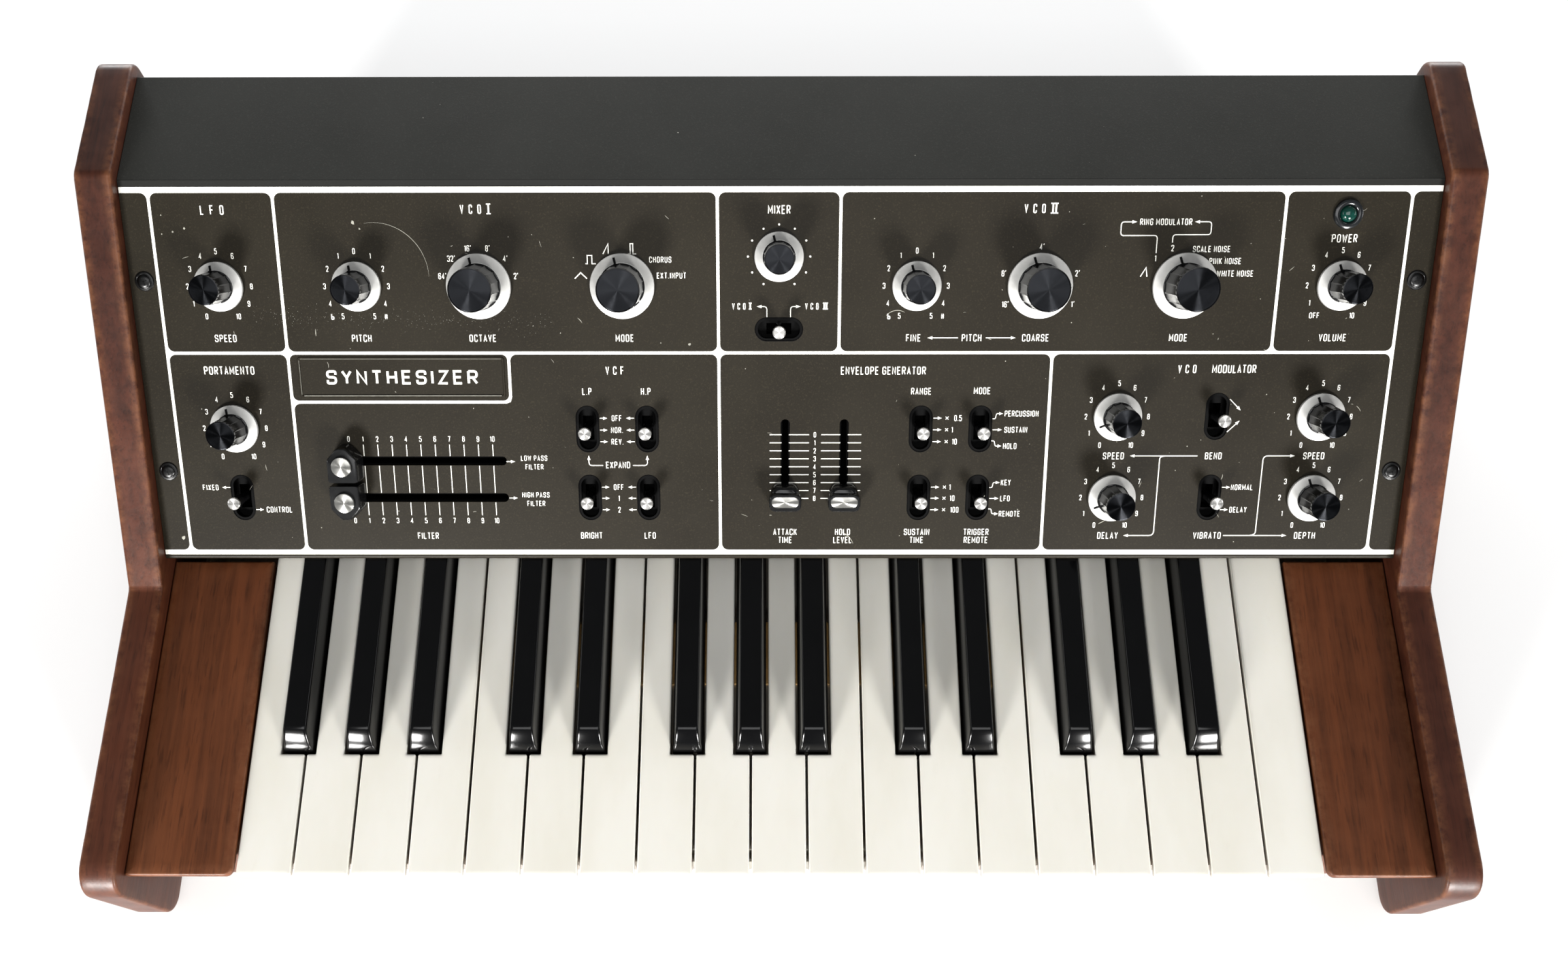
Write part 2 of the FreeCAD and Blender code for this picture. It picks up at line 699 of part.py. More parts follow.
for i in range(9):
    x = -40.0 + 10.0 * i
    slit = box(x - 1.5, x + 1.5, cover_back_y - 5, cover_back_y + 5, 110.0, 140.0)
    rear_openings.append(slit)
cover = cover.cut(Part.makeCompound(rear_openings))
save("top_cover", cover)

rear_fittings = []
for x in jack_x:
    sleeve = cylinder(x, cover_back_y - 22.0, jack_z, 5.0, 25.0, V(0, 1, 0))
    nut = cylinder(x, cover_back_y, jack_z, 7.2, 2.0, V(0, 1, 0))
    inner_body = box(x - 8.0, x + 8.0, cover_back_y - 24.0, cover_back_y - 1.9, jack_z - 8.0, jack_z + 8.0)
    jack = joined([sleeve, nut, inner_body])
    rear_fittings.append(jack.cut(cylinder(x, cover_back_y - 21.0, jack_z, jack_radius, 40, V(0, 1, 0))))
gland = joined([
    cylinder(cord_x, cover_back_y - 6.0, jack_z, 6.0, 9.0, V(0, 1, 0)),
    cylinder(cord_x, cover_back_y, jack_z, 8.5, 2.2, V(0, 1, 0)),
])
rear_fittings.append(gland.cut(cylinder(cord_x, cover_back_y - 7.0, jack_z, 3.4, 20, V(0, 1, 0))))
save("rear_jacks", rear_fittings)


# ---------------------------------------------------------------- bottom plate and feet
plate_front = key_front_y + 11.0
plate_back = cover_back_y - cover_sheet - 0.1
plate_half = half_inner
tray = [
    box(-plate_half, plate_half, plate_front, plate_back, plate_z, plate_z + cover_sheet),
    box(-plate_half, plate_half, plate_back - cover_sheet, plate_back, plate_z, plate_z + 16.0),
    box(-keys_left * -1.0, keys_left * -1.0, plate_front, plate_front + cover_sheet,
        plate_z, plate_z + 20.0),
]
for side in (-1, 1):
    x0 = plate_half - 1.5 if side > 0 else -plate_half
    tray.append(box(x0, x0 + 1.5, panel_foot_y + 6.0, plate_back, plate_z, plate_z + 24.0))
tray_body = joined(tray)
foot_x = half_inner - 27.75
foot_places = [(-foot_x, -125.0), (foot_x, -125.0), (-foot_x, 130.0), (foot_x, 130.0)]
save("bottom_plate", tray_body)

feet = []
for x, y in foot_places:
    foot = cone(x, y, 0.0, foot_radius - 1.5, foot_radius, plate_z)
    feet.append(foot.cut(cylinder(x, y, -1, 2.5, 4.0)))
save("rubber_feet", feet)


# ---------------------------------------------------------------- electronics
floor_z = plate_z + cover_sheet
transformer_x = 175.0
core_block = box(transformer_x - 24, transformer_x + 24, 92.0, 130.0, floor_z, floor_z + 42.0)
coil = round_edges(box(transformer_x - 17, transformer_x + 17, 82.0, 140.0, floor_z + 8, floor_z + 34),
                   4.0, upright)
save("power_transformer", joined([core_block, coil]))


def board(x0, x1, y0, y1, z, parts):
    pieces = [box(x0, x1, y0, y1, z, z + 1.6)]
    for x in (x0 + 6, x1 - 6):
        for y in (y0 + 5, y1 - 5):
            pieces.append(cylinder(x, y, floor_z, 2.5, z - floor_z + 0.2))
    for x, y, width, depth, height in parts:
        pieces.append(box(x - width / 2, x + width / 2, y - depth / 2, y + depth / 2,
                          z + 1.5, z + 1.6 + height))
    return joined(pieces)


main_parts = []
for column in range(9):
    for line in range(2):
        main_parts.append((-160.0 + 30.0 * column, 96.0 + 26.0 * line, 8.0, 18.0, 4.0))
main_board = board(-190.0, 130.0, 82.0, 136.0, floor_z + 8.0, main_parts)
capacitors = []
for x in (-178.0, 118.0):
    capacitors.append(cylinder(x, 110.0, floor_z + 9.5, 7.0, 24.0))
main_board = joined([main_board] + capacitors)
contact_board_z = bed_z + bed_sheet
contact_board = box(-frame_half + 4, frame_half - 4, -60.0, -30.0, contact_board_z, contact_board_z + 1.6)
save("circuit_boards", [main_board, contact_board])
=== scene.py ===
import json
import math
import random

import bmesh
import bpy
from mathutils import Matrix, Vector


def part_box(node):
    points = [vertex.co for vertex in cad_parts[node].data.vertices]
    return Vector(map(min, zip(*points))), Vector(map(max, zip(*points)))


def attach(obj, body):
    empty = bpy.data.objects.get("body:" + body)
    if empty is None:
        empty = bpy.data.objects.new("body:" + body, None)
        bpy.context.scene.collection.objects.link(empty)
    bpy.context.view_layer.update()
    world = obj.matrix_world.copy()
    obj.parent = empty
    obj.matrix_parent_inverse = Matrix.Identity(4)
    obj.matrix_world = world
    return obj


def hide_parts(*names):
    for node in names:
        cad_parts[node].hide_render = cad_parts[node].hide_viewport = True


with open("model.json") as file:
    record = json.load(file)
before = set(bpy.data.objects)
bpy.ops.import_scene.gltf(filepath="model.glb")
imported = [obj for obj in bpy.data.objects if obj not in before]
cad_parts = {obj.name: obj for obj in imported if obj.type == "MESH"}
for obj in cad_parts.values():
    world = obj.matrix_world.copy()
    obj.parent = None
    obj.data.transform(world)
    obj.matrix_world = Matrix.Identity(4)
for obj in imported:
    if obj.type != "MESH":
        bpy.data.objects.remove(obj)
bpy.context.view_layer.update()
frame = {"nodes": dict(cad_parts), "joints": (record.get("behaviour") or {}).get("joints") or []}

MM = 0.001
joints = {j["name"]: j for j in frame["joints"]}


# ------------------------------------------------------------------ frame of the control panel
knob_joint = joints["turn_lfo_speed"]
normal = Vector(knob_joint["axis"]).normalized()
uphill = Vector((0.0, normal.z, -normal.y))
ROW_UPPER = 115.0
origin = Vector(knob_joint["pos_m"]) - uphill * ROW_UPPER * MM
origin.x = 0.0
panel_matrix = Matrix((
    (1.0, 0.0, 0.0, origin.x),
    (0.0, uphill.y, normal.y, origin.y),
    (0.0, uphill.z, normal.z, origin.z),
    (0.0, 0.0, 0.0, 1.0),
))


def on_panel(x, row, height=0.0):
    """World place, in metres, of a point given in mm on the panel."""
    return panel_matrix @ Vector((x * MM, row * MM, height * MM))


def panel_place(joint):
    """Panel x, row and height in mm of a joint's position."""
    local = panel_matrix.inverted() @ Vector(joints[joint]["pos_m"])
    return local.x / MM, local.y / MM, local.z / MM


# ------------------------------------------------------------------ materials
class Nodes:
    """Small builder for a material's node tree; keywords set the shader's own sockets."""

    def __init__(self, name, **sockets):
        self.material = bpy.data.materials.new(name)
        self.material.use_nodes = True
        self.tree = self.material.node_tree
        self.shader = self.tree.nodes["Principled BSDF"]
        for key, value in sockets.items():
            self.shader.inputs[key.replace("_", " ")].default_value = value

    def add(self, kind, **settings):
        node = self.tree.nodes.new("ShaderNode" + kind)
        for key, value in settings.items():
            if hasattr(node, key):
                setattr(node, key, value)
            else:
                node.inputs[key.replace("_", " ")].default_value = value
        return node

    def link(self, source, target):
        self.tree.links.new(source, target)

    def place(self, scale=(1, 1, 1)):
        coordinates = self.add("TexCoord")
        mapping = self.add("Mapping")
        mapping.inputs["Scale"].default_value = scale
        self.link(coordinates.outputs["Object"], mapping.inputs["Vector"])
        return mapping.outputs["Vector"]

    def noise(self, scale, detail=4.0, rough=0.55, stretch=(1, 1, 1), distortion=0.0):
        node = self.add("TexNoise", Scale=scale, Detail=detail, Roughness=rough, Distortion=distortion)
        self.link(self.place(stretch), node.inputs["Vector"])
        return node.outputs["Fac"]

    def ramp(self, source, stops):
        node = self.add("ValToRGB")
        ramp = node.color_ramp
        while len(ramp.elements) < len(stops):
            ramp.elements.new(0.5)
        for element, (position, colour) in zip(ramp.elements, stops):
            element.position = position
            element.color = (*colour, 1.0) if isinstance(colour, tuple) else (colour, colour, colour, 1.0)
        self.link(source, node.inputs["Fac"])
        return node.outputs["Color"]

    def feed(self, value, socket):
        """Links an output to a socket, or sets the socket to a number or colour."""
        if isinstance(value, bpy.types.NodeSocket):
            self.link(value, socket)
        elif isinstance(value, tuple):
            socket.default_value = (*value, 1.0)
        else:
            socket.default_value = (value, value, value, 1.0) if socket.type == "RGBA" else value

    def mix(self, factor, a, b, blend="MIX"):
        node = self.add("MixRGB", blend_type=blend)
        for value, name in ((factor, "Fac"), (a, "Color1"), (b, "Color2")):
            self.feed(value, node.inputs[name])
        return node.outputs["Color"]

    def mask(self, source, low, high):
        return self.ramp(source, [(low, 0.0), (high, 1.0)])

    def cover(self, colour, mask, amount, other):
        """Lays another colour over the first where the mask is white."""
        return self.mix(self.maths("MULTIPLY", mask, amount), colour, other)

    def maths(self, kind, a, b):
        node = self.add("Math", operation=kind)
        self.feed(a, node.inputs[0])
        self.feed(b, node.inputs[1])
        return node.outputs["Value"]

    def colour(self, socket):
        self.link(socket, self.shader.inputs["Base Color"])

    def rough(self, source, low, high):
        node = self.add("MapRange")
        node.inputs["To Min"].default_value = low
        node.inputs["To Max"].default_value = high
        self.link(source, node.inputs["Value"])
        self.link(node.outputs["Result"], self.shader.inputs["Roughness"])

    def bump(self, source, strength, distance):
        node = self.add("Bump", Strength=strength, Distance=distance)
        self.link(source, node.inputs["Height"])
        self.link(node.outputs["Normal"], self.shader.inputs["Normal"])


def wood_material(name, dark, mid, light, worn, gloss):
    """Stained close-grained wood, grain along Y, rubbed pale where the wear attribute is high."""
    n = Nodes(name, Specular_IOR_Level=0.30, Coat_Weight=0.05, Coat_Roughness=0.25)
    broad = n.noise(9.0, 3.0, 0.5, (1.0, 0.22, 1.0), 0.6)
    grain = n.noise(240.0, 5.0, 0.6, (1.0, 0.05, 1.0), 0.3)
    pores = n.noise(900.0, 2.0, 0.5, (1.0, 0.09, 1.0))
    base = n.ramp(broad, [(0.32, dark), (0.52, mid), (0.72, light)])
    base = n.mix(1.0, base, n.ramp(grain, [(0.35, 0.62), (0.62, 1.12)]), "MULTIPLY")
    base = n.mix(0.7, base, n.ramp(pores, [(0.33, 0.55), (0.42, 1.0)]), "MULTIPLY")
    smear = n.noise(55.0, 4.0, 0.65)
    base = n.cover(base, n.mask(smear, 0.42, 0.75), 0.35, light)
    attribute = n.add("Attribute", attribute_name="wear")
    chips = n.mask(n.noise(180.0, 5.0, 0.7), 0.38, 0.62)
    base = n.cover(base, n.maths("MULTIPLY", attribute.outputs["Fac"], chips), 0.45, worn)
    n.colour(base)
    n.rough(smear, gloss - 0.08, gloss + 0.12)
    n.bump(n.mix(0.5, grain, pores), 0.25, 0.0004)
    return n.material


def painted_material(name, base_low, base_high, speck, gloss, scuff_level, shade_edge_y=None):
    """Satin stove enamel with fine speckle, hair scratches and small chips; painted shade darkens it in front of Y =
    shade_edge_y.
    """
    n = Nodes(name, Specular_IOR_Level=0.15)
    cloud = n.noise(14.0, 4.0, 0.6)
    fleck = n.noise(1500.0, 2.0, 0.5)
    hair = n.noise(70.0, 6.0, 0.8, (1.0, 6.0, 6.0), 1.5)
    chip = n.noise(260.0, 2.0, 0.5)
    colour = n.ramp(cloud, [(0.3, base_low), (0.7, base_high)])
    colour = n.cover(colour, n.mask(fleck, 0.55, 0.72), 0.5, speck)
    colour = n.cover(colour, n.mask(hair, 0.745, 0.76), scuff_level, (0.42, 0.40, 0.34))
    colour = n.cover(colour, n.mask(chip, 0.80, 0.815), 0.8, (0.5, 0.49, 0.44))
    # Painted shade: a dark strip that stands for the shade in the step between the panel's top edge and the cover.
    if shade_edge_y is not None:
        split = n.add("SeparateXYZ")
        n.link(n.place(), split.inputs["Vector"])
        strip = n.maths("LESS_THAN", split.outputs["Y"], shade_edge_y)
        colour = n.cover(colour, strip, 0.72, (0.004, 0.004, 0.0035))
    n.colour(colour)
    n.rough(cloud, gloss - 0.05, gloss + 0.08)
    n.bump(fleck, 0.12, 0.0002)
    return n.material


def mottled(n, source, colour, variation):
    """Colour a little darker and lighter in patches."""
    low = tuple(c * (1.0 - variation) for c in colour)
    high = tuple(min(1.0, c * (1.0 + variation)) for c in colour)
    n.colour(n.ramp(source, [(0.3, low), (0.7, high)]))


def plastic_material(name, colour, gloss, variation=0.15, coat=0.0, bump=0.05, scale=120.0, specular=0.5):
    n = Nodes(name, Coat_Weight=coat, Coat_Roughness=0.06, Specular_IOR_Level=specular)
    cloud = n.noise(scale, 4.0, 0.6)
    mottled(n, cloud, colour, variation)
    n.rough(cloud, max(0.03, gloss - 0.03), gloss + 0.05)
    n.bump(n.noise(scale * 6.0, 2.0), bump, 0.0002)
    return n.material


def metal_material(name, colour, gloss, stretch=(1, 1, 1), scale=400.0, variation=0.12, spun=0.0, metal=1.0):
    """Brushed metal; spun is the strength of a lathe-turned sheen about the piece's own axis."""
    n = Nodes(name, Metallic=metal)
    brushed = n.noise(scale, 3.0, 0.6, stretch)
    mottled(n, brushed, colour, variation)
    n.rough(brushed, gloss - 0.05, gloss + 0.07)
    if spun:
        n.shader.inputs["Anisotropic"].default_value = spun
        n.shader.inputs["Anisotropic Rotation"].default_value = 0.25
        tangent = n.add("Tangent", direction_type="RADIAL", axis="Z")
        n.link(tangent.outputs["Tangent"], n.shader.inputs["Tangent"])
    else:
        n.bump(brushed, 0.08, 0.0002)
    return n.material


def ivory_material():
    """Aged ivory plastic; painted shade, a dark brown, where the side attribute is high: it darkens the key sides for
    the shade in the gaps between keys.
    """
    n = Nodes("key_ivory", Coat_Weight=0.25, Coat_Roughness=0.12, Subsurface_Weight=0.05,
              Subsurface_Radius=(0.002, 0.0015, 0.001), Subsurface_Scale=0.5)
    cloud = n.noise(30.0, 4.0, 0.6, (1.0, 0.4, 1.0))
    colour = n.ramp(cloud, [(0.25, (0.86, 0.83, 0.735)), (0.6, (0.925, 0.90, 0.825)), (0.85, (0.94, 0.92, 0.855))])
    grime = n.noise(160.0, 5.0, 0.7, (1.0, 0.3, 1.0))
    colour = n.cover(colour, n.mask(grime, 0.62, 0.8), 0.12, (0.62, 0.56, 0.44))
    # Painted shade: dark brown on the key sides, standing for the shade in the gaps between keys.
    attribute = n.add("Attribute", attribute_name="side")
    colour = n.cover(colour, attribute.outputs["Fac"], 0.92, (0.13, 0.085, 0.055))
    n.colour(colour)
    n.rough(grime, 0.16, 0.32)
    n.bump(n.noise(700.0, 2.0), 0.02, 0.0001)
    return n.material


def lens_material():
    n = Nodes("lamp_lens", Roughness=0.10, Coat_Weight=0.35, Emission_Color=(0.0, 0.16, 0.09, 1.0),
              Emission_Strength=0.05)
    n.colour(n.ramp(n.noise(900.0, 2.0), [(0.3, (0.0012, 0.018, 0.014)), (0.7, (0.0025, 0.036, 0.027))]))
    return n.material


PANEL_LENGTH = 154.8
# Depth of the painted shade strip along the cover's front edge, in metres.
SHADE_STRIP_WIDTH = 0.0020
M = {
    "cheek": wood_material("cheek_wood", (0.034, 0.0095, 0.0052), (0.056, 0.0150, 0.0072),
                           (0.086, 0.0245, 0.0105), (0.22, 0.085, 0.035), 0.40),
    "block": wood_material("block_wood", (0.074, 0.0205, 0.0066), (0.107, 0.0300, 0.0092),
                           (0.145, 0.044, 0.0145), (0.24, 0.10, 0.045), 0.42),
    "panel": painted_material("panel_paint", (0.0112, 0.0090, 0.0055), (0.0160, 0.0132, 0.0082),
                              (0.034, 0.028, 0.017), 0.42, 0.22),
    # The cover's paint carries the painted shade strip just behind the panel's top edge.
    "cover": painted_material("cover_paint", (0.022, 0.0225, 0.0200), (0.029, 0.0295, 0.0265),
                              (0.045, 0.045, 0.04), 0.50, 0.10, on_panel(0.0, PANEL_LENGTH).y + SHADE_STRIP_WIDTH),
    "print": plastic_material("cream_print", (0.90, 0.89, 0.82), 0.55, 0.05, 0.0, 0.05, 90.0),
    "ivory": ivory_material(),
    "ebony": plastic_material("key_ebony", (0.0015, 0.0015, 0.0017), 0.12, 0.2, 0.0, 0.02, 60.0, 0.36),
    "grip": plastic_material("knob_grip", (0.0045, 0.0045, 0.005), 0.17, 0.2, 0.0, 0.02, specular=0.32),
    "cap": metal_material("knob_cap", (0.019, 0.020, 0.0225), 0.19, variation=0.05, spun=0.98),
    "skirt": metal_material("knob_skirt", (0.60, 0.595, 0.575), 0.42, variation=0.05, spun=0.3, metal=0.6),
    "tip": metal_material("lever_tip", (0.62, 0.61, 0.59), 0.30, variation=0.04, spun=0.88, metal=0.9),
    "well": plastic_material("well_black", (0.0013, 0.0013, 0.0014), 0.60, 0.3, specular=0.07),
    # Painted highlight: a pale metal for the thin lines that stand for light caught on the name plate's bevelled frame.
    "edge": metal_material("painted_highlight_edge", (0.32, 0.31, 0.27), 0.4),
    "slider": plastic_material("slider_black", (0.0050, 0.0052, 0.0055), 0.22, 0.25, 0.1),
    "button": metal_material("slider_button", (0.52, 0.515, 0.485), 0.28, variation=0.04, spun=0.88, metal=0.95),
    "pointer": plastic_material("pointer_black", (0.0030, 0.0030, 0.0032), 0.55, 0.2, specular=0.10),
    # Slide pot bodies: black, and darkened further to a dull near-black void as painted shade inside the panel's slots.
    "pot": plastic_material("pot_black_and_shade", (0.0020, 0.0020, 0.0020), 0.85, 0.3, specular=0.05),
    "screw": metal_material("screw_black", (0.035, 0.035, 0.035), 0.30, variation=0.2),
    "zinc": metal_material("zinc_plate", (0.52, 0.50, 0.44), 0.40, variation=0.15, scale=60.0),
    "steel": metal_material("spring_steel", (0.40, 0.40, 0.41), 0.30),
    "board": plastic_material("board_laminate", (0.22, 0.13, 0.045), 0.45, 0.25),
    "iron": metal_material("transformer_iron", (0.14, 0.13, 0.13), 0.50, (1, 1, 8), 300.0),
    "nickel": metal_material("nickel", (0.66, 0.64, 0.58), 0.28),
    "rubber": plastic_material("foot_rubber", (0.018, 0.018, 0.018), 0.75, 0.3, 0.0, 0.3),
    "bezel": plastic_material("lamp_bezel", (0.008, 0.009, 0.010), 0.18, 0.2, 0.3),
    "lens": lens_material(),
    "scuff": plastic_material("scuff_marks", (0.33, 0.32, 0.27), 0.6, 0.35),
}

# CAD nodes that keep their own shape and only get a material.
cad_looks = {
    "front_panel": "panel",
    "top_cover": "cover",
    "bottom_plate": "zinc",
    "keybed_frame": "zinc",
    "key_springs": "steel",
    "circuit_boards": "board",
    "power_transformer": "iron",
    "rotary_control_bodies": "nickel",
    "slide_pot_bodies": "pot",
    "lever_switch_bodies": "well",
    "rear_jacks": "nickel",
    "rubber_feet": "rubber",
}
for node, look in cad_looks.items():
    slots = frame["nodes"][node].data.materials
    slots.clear()
    slots.append(M[look])


# ------------------------------------------------------------------ mesh helpers
def piece(name, shape, look, body, replaced=(), matrix=None, sharp=35.0):
    """Adds a shape, in mm, as an object that rides on a body; sharp is None for flat faces."""
    mesh = bpy.data.meshes.new(name)
    mesh.from_pydata([(x * MM, y * MM, z * MM) for x, y, z in shape.verts], [], shape.faces)
    mesh.validate()
    work = bmesh.new()
    work.from_mesh(mesh)
    bmesh.ops.recalc_face_normals(work, faces=work.faces)
    work.to_mesh(mesh)
    work.free()
    mesh.materials.append(M[look])
    thing = bpy.data.objects.new(name, mesh)
    bpy.context.scene.collection.objects.link(thing)
    if matrix is not None:
        thing.matrix_world = matrix
    if sharp is not None:
        mesh.shade_smooth()
        mesh.set_sharp_from_angle(angle=math.radians(sharp))
    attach(thing, body)
    if replaced:
        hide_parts(*replaced)
    return thing


def level(points, z):
    """Lifts an outline to a height."""
    return [(x, y, z) for x, y in points]


class Shape:
    """Collects vertices and faces of several parts of one piece."""

    def __init__(self):
        self.verts = []
        self.faces = []

    def put(self, verts, faces, matrix=None):
        start = len(self.verts)
        self.verts += [tuple(v) if matrix is None else tuple(matrix @ Vector(v)) for v in verts]
        self.faces += [tuple(i + start for i in f) for f in faces]

    def lathe(self, profile, steps=48, matrix=None, radius_at=None):
        """Turns (radius, height) points about Z; a radius of 0 closes to one point."""
        verts, rings, faces = [], [], []
        for radius, height in profile:
            turns = [2 * math.pi * i / steps for i in range(steps)] if radius > 0 else [0.0]
            rings.append(range(len(verts), len(verts) + len(turns)))
            for a in turns:
                r = radius if radius_at is None else radius_at(radius, height, a)
                verts.append((r * math.cos(a), r * math.sin(a), height))
        for low, high in zip(rings, rings[1:]):
            for i in range(steps):
                j = (i + 1) % steps
                if len(low) > 1 and len(high) > 1:
                    faces.append((low[i], low[j], high[j], high[i]))
                elif len(high) > 1:
                    faces.append((low[0], high[i], high[j]))
                elif len(low) > 1:
                    faces.append((low[i], low[j], high[0]))
        self.put(verts, faces, matrix)

    def stack(self, loops, matrix=None, cap_low=True, cap_high=True):
        """Joins closed loops of equal length, one above the other."""
        count = len(loops[0])
        top = (len(loops) - 1) * count
        faces = []
        for a in range(0, top, count):
            for i in range(count):
                j = (i + 1) % count
                faces.append((a + i, a + j, a + count + j, a + count + i))
        if cap_low:
            faces.append(tuple(reversed(range(count))))
        if cap_high:
            faces.append(tuple(range(top, top + count)))
        self.put([p for loop in loops for p in loop], faces, matrix)

    def block(self, half_x, half_y, low, high, taper_x=0.0, taper_y=0.0, matrix=None):
        """Box about the Z axis, narrower at the top by the tapers."""
        loops = []
        for x, y, z in ((half_x, half_y, low), (half_x - taper_x, half_y - taper_y, high)):
            loops.append([(-x, -y, z), (x, -y, z), (x, y, z), (-x, y, z)])
        self.stack(loops, matrix)


def rounded_outline(points, steps=6):
    """Closed outline from (x, y, corner radius) points."""
    out = []
    for i, (px, py, radius) in enumerate(points):
        p = Vector((px, py))
        if radius > 0:
            before = (Vector(points[i - 1][:2]) - p).normalized()
            after = (Vector(points[(i + 1) % len(points)][:2]) - p).normalized()
            half = before.angle(after) / 2
        if radius <= 0 or half > math.radians(89.5):
            out.append((px, py))
            continue
        reach = radius / math.tan(half)
        centre = p + (before + after).normalized() * (radius / math.sin(half))
        start = p + before * reach - centre
        sweep = start.angle_signed(p + after * reach - centre)
        for k in range(steps + 1):
            turned = start.copy()
            turned.rotate(Matrix.Rotation(-sweep * k / steps, 2))
            out.append(tuple(centre + turned))
    return out


def offset_outline(points, amount):
    """Moves a closed, anticlockwise outline inwards by amount."""
    out = []
    for i, point in enumerate(points):
        p = Vector(point)
        first = p - Vector(points[i - 1])
        second = Vector(points[(i + 1) % len(points)]) - p
        n1 = Vector((-first.y, first.x)).normalized()
        n2 = Vector((-second.y, second.x)).normalized()
        n = (n1 + n2).normalized()
        out.append(tuple(p + n * amount / max(0.35, n.dot(n1))))
    return out


def inset_corners(points, amount):
    """Moves a closed anticlockwise corner list (x, y, radius) inwards; radii follow."""
    out = []
    for i, (px, py, radius) in enumerate(points):
        p = Vector((px, py))
        d1 = (p - Vector(points[i - 1][:2])).normalized()
        d2 = (Vector(points[(i + 1) % len(points)][:2]) - p).normalized()
        n1 = Vector((-d1.y, d1.x))
        n = (n1 + Vector((-d2.y, d2.x))).normalized()
        moved = p + n * amount / n.dot(n1)
        if radius > 0:
            convex = d1.x * d2.y - d1.y * d2.x > 0
            radius = max(0.05, radius - amount) if convex else radius + amount
        out.append((moved.x, moved.y, radius))
    return out


def ring_of(points, amount, counts, steps=8):
    """Rounded outline, inset by amount, with the same number of points for every amount."""
    corners = inset_corners(points, amount)
    bare = [corner[:2] + (0.0,) for corner in corners]
    arcs = [rounded_outline([bare[i - 1], corner, bare[(i + 1) % len(bare)]], steps)[1:-1]
            for i, corner in enumerate(corners)]
    out = []
    for arc, following, count in zip(arcs, arcs[1:] + arcs[:1], counts):
        a, b = Vector(arc[-1]), Vector(following[0])
        out += arc + [tuple(a.lerp(b, k / count)) for k in range(1, count)]
    return out


def slab(x0, x1, y0, y1, near, far, steps=6):
    """Rectangle with one corner radius at its low y edge and another at its high y edge."""
    return rounded_outline([(x0, y0, near), (x1, y0, near), (x1, y1, far), (x0, y1, far)], steps)


def obround(cx, cy, width, length, steps=12):
    radius = min(width, length) / 2 * 0.999
    return slab(cx - width / 2, cx + width / 2, cy - length / 2, cy + length / 2, radius, radius, steps)


def eased(radius, steps):
    """Quarter round on an edge: (inset from the side, drop from the top) from the top round to the side."""
    turns = [k / steps * math.pi / 2 for k in range(1, steps + 1)]
    return [(radius - radius * math.sin(a), radius - radius * math.cos(a)) for a in turns]


def wear_attribute(thing, name, values):
    layer = thing.data.attributes.new(name, "FLOAT", "POINT")
    layer.data.foreach_set("value", values)


# ------------------------------------------------------------------ wooden cheeks and key blocks
def extent(node):
    """Left, right, front, back, base and top of a CAD node, in mm."""
    low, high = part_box(node)
    return [value / MM for pair in zip(low, high) for value in pair]


def cheek(node, side):
    left, right, front, back, base, top = extent(node)
    arm = extent("left_key_block")[5] + 8.9
    profile = [(front, base, 9.0), (back, base, 6.0), (back, top, 7.0), (105.0, top, 7.0), (-33.4, arm - 1.0, 5.0),
               (front, arm, 12.5)]
    counts = [70, 36, 14, 40, 28, 14]
    outline = ring_of(profile, 0.0, counts)
    start, direction = (left, 1.0) if side < 0 else (right, -1.0)
    thickness = right - left
    ease = 1.5
    levels = [(9.0, 0.0, 0.0), (5.0, 0.0, 0.08), (ease, 0.0, 0.5)]
    for k, (inset, across) in enumerate(eased(ease, 5), 1):
        levels.append((inset, across, 0.75 + 0.25 * math.sin(k / 5 * math.pi)))
    edges = levels[::-1]
    for k in range(1, 5):
        levels.append((0.0, ease + (thickness - 2 * ease) * k / 5, 0.28 * abs(2 * k / 5 - 1) ** 2))
    levels += [(inset, thickness - across, wear) for inset, across, wear in edges]
    generator = random.Random(11 + side)
    dents = [generator.random() ** 6 * 0.35 for _ in outline]
    shape = Shape()
    loops, wears = [], []
    for inset, across, wear in levels:
        depth = wear if wear > 0.2 and inset < 1.6 else 0.0
        loop = []
        for (y, z), (run, rise), dent in zip(ring_of(profile, inset, counts), outline, dents):
            dent *= depth
            loop.append((start + direction * across, y - 0.0002 * dent * run, z - dent * 0.5 if rise > 60 else z))
        loops.append(loop)
        wears += [wear] * len(loop)
    shape.stack(loops)
    wear_attribute(piece(node + "_wood", shape, "cheek", "case", (node,), sharp=50.0), "wear", wears)


cheek("left_cheek", -1)
cheek("right_cheek", 1)


def key_block(node, side):
    """Block beside the keys: an eased top slab over a plain lower body."""
    left, right, front, back, base, top = extent(node)
    inner, outer = (3.2, 0.6) if side > 0 else (0.6, 3.2)
    corners = [(left, front, inner), (right, front, outer), (right, back, 0.3), (left, back, 0.3)]
    ease = 1.0
    levels = [(12.0, 0.0, 0.0), (5.0, 0.0, 0.1), (ease, 0.0, 0.55)]
    levels += [(inset, drop, 0.85) for inset, drop in eased(ease, 4)]
    levels += [(0.0, 3.2, 0.5), (0.6, 3.6, 0.2), (1.2, 3.9, 0.0)]
    shape = Shape()
    loops, wears = [], []
    for inset, drop, wear in reversed(levels):
        loops.append(level(ring_of(corners, inset, [10, 30, 10, 30]), top - drop))
        wears += [wear] * len(loops[-1])
    shape.stack(loops)
    lower = slab(left + 1.0, right - 1.0, front + 9.5, back - 0.5, 0.8, 0.0, 3)
    shape.stack([level(lower, base), level(lower, top - 3.5)])
    wears += [0.0] * 2 * len(lower)
    wear_attribute(piece(node + "_wood", shape, "block", "case", (node,), sharp=50.0), "wear", wears)


key_block("left_key_block", -1)
key_block("right_key_block", 1)


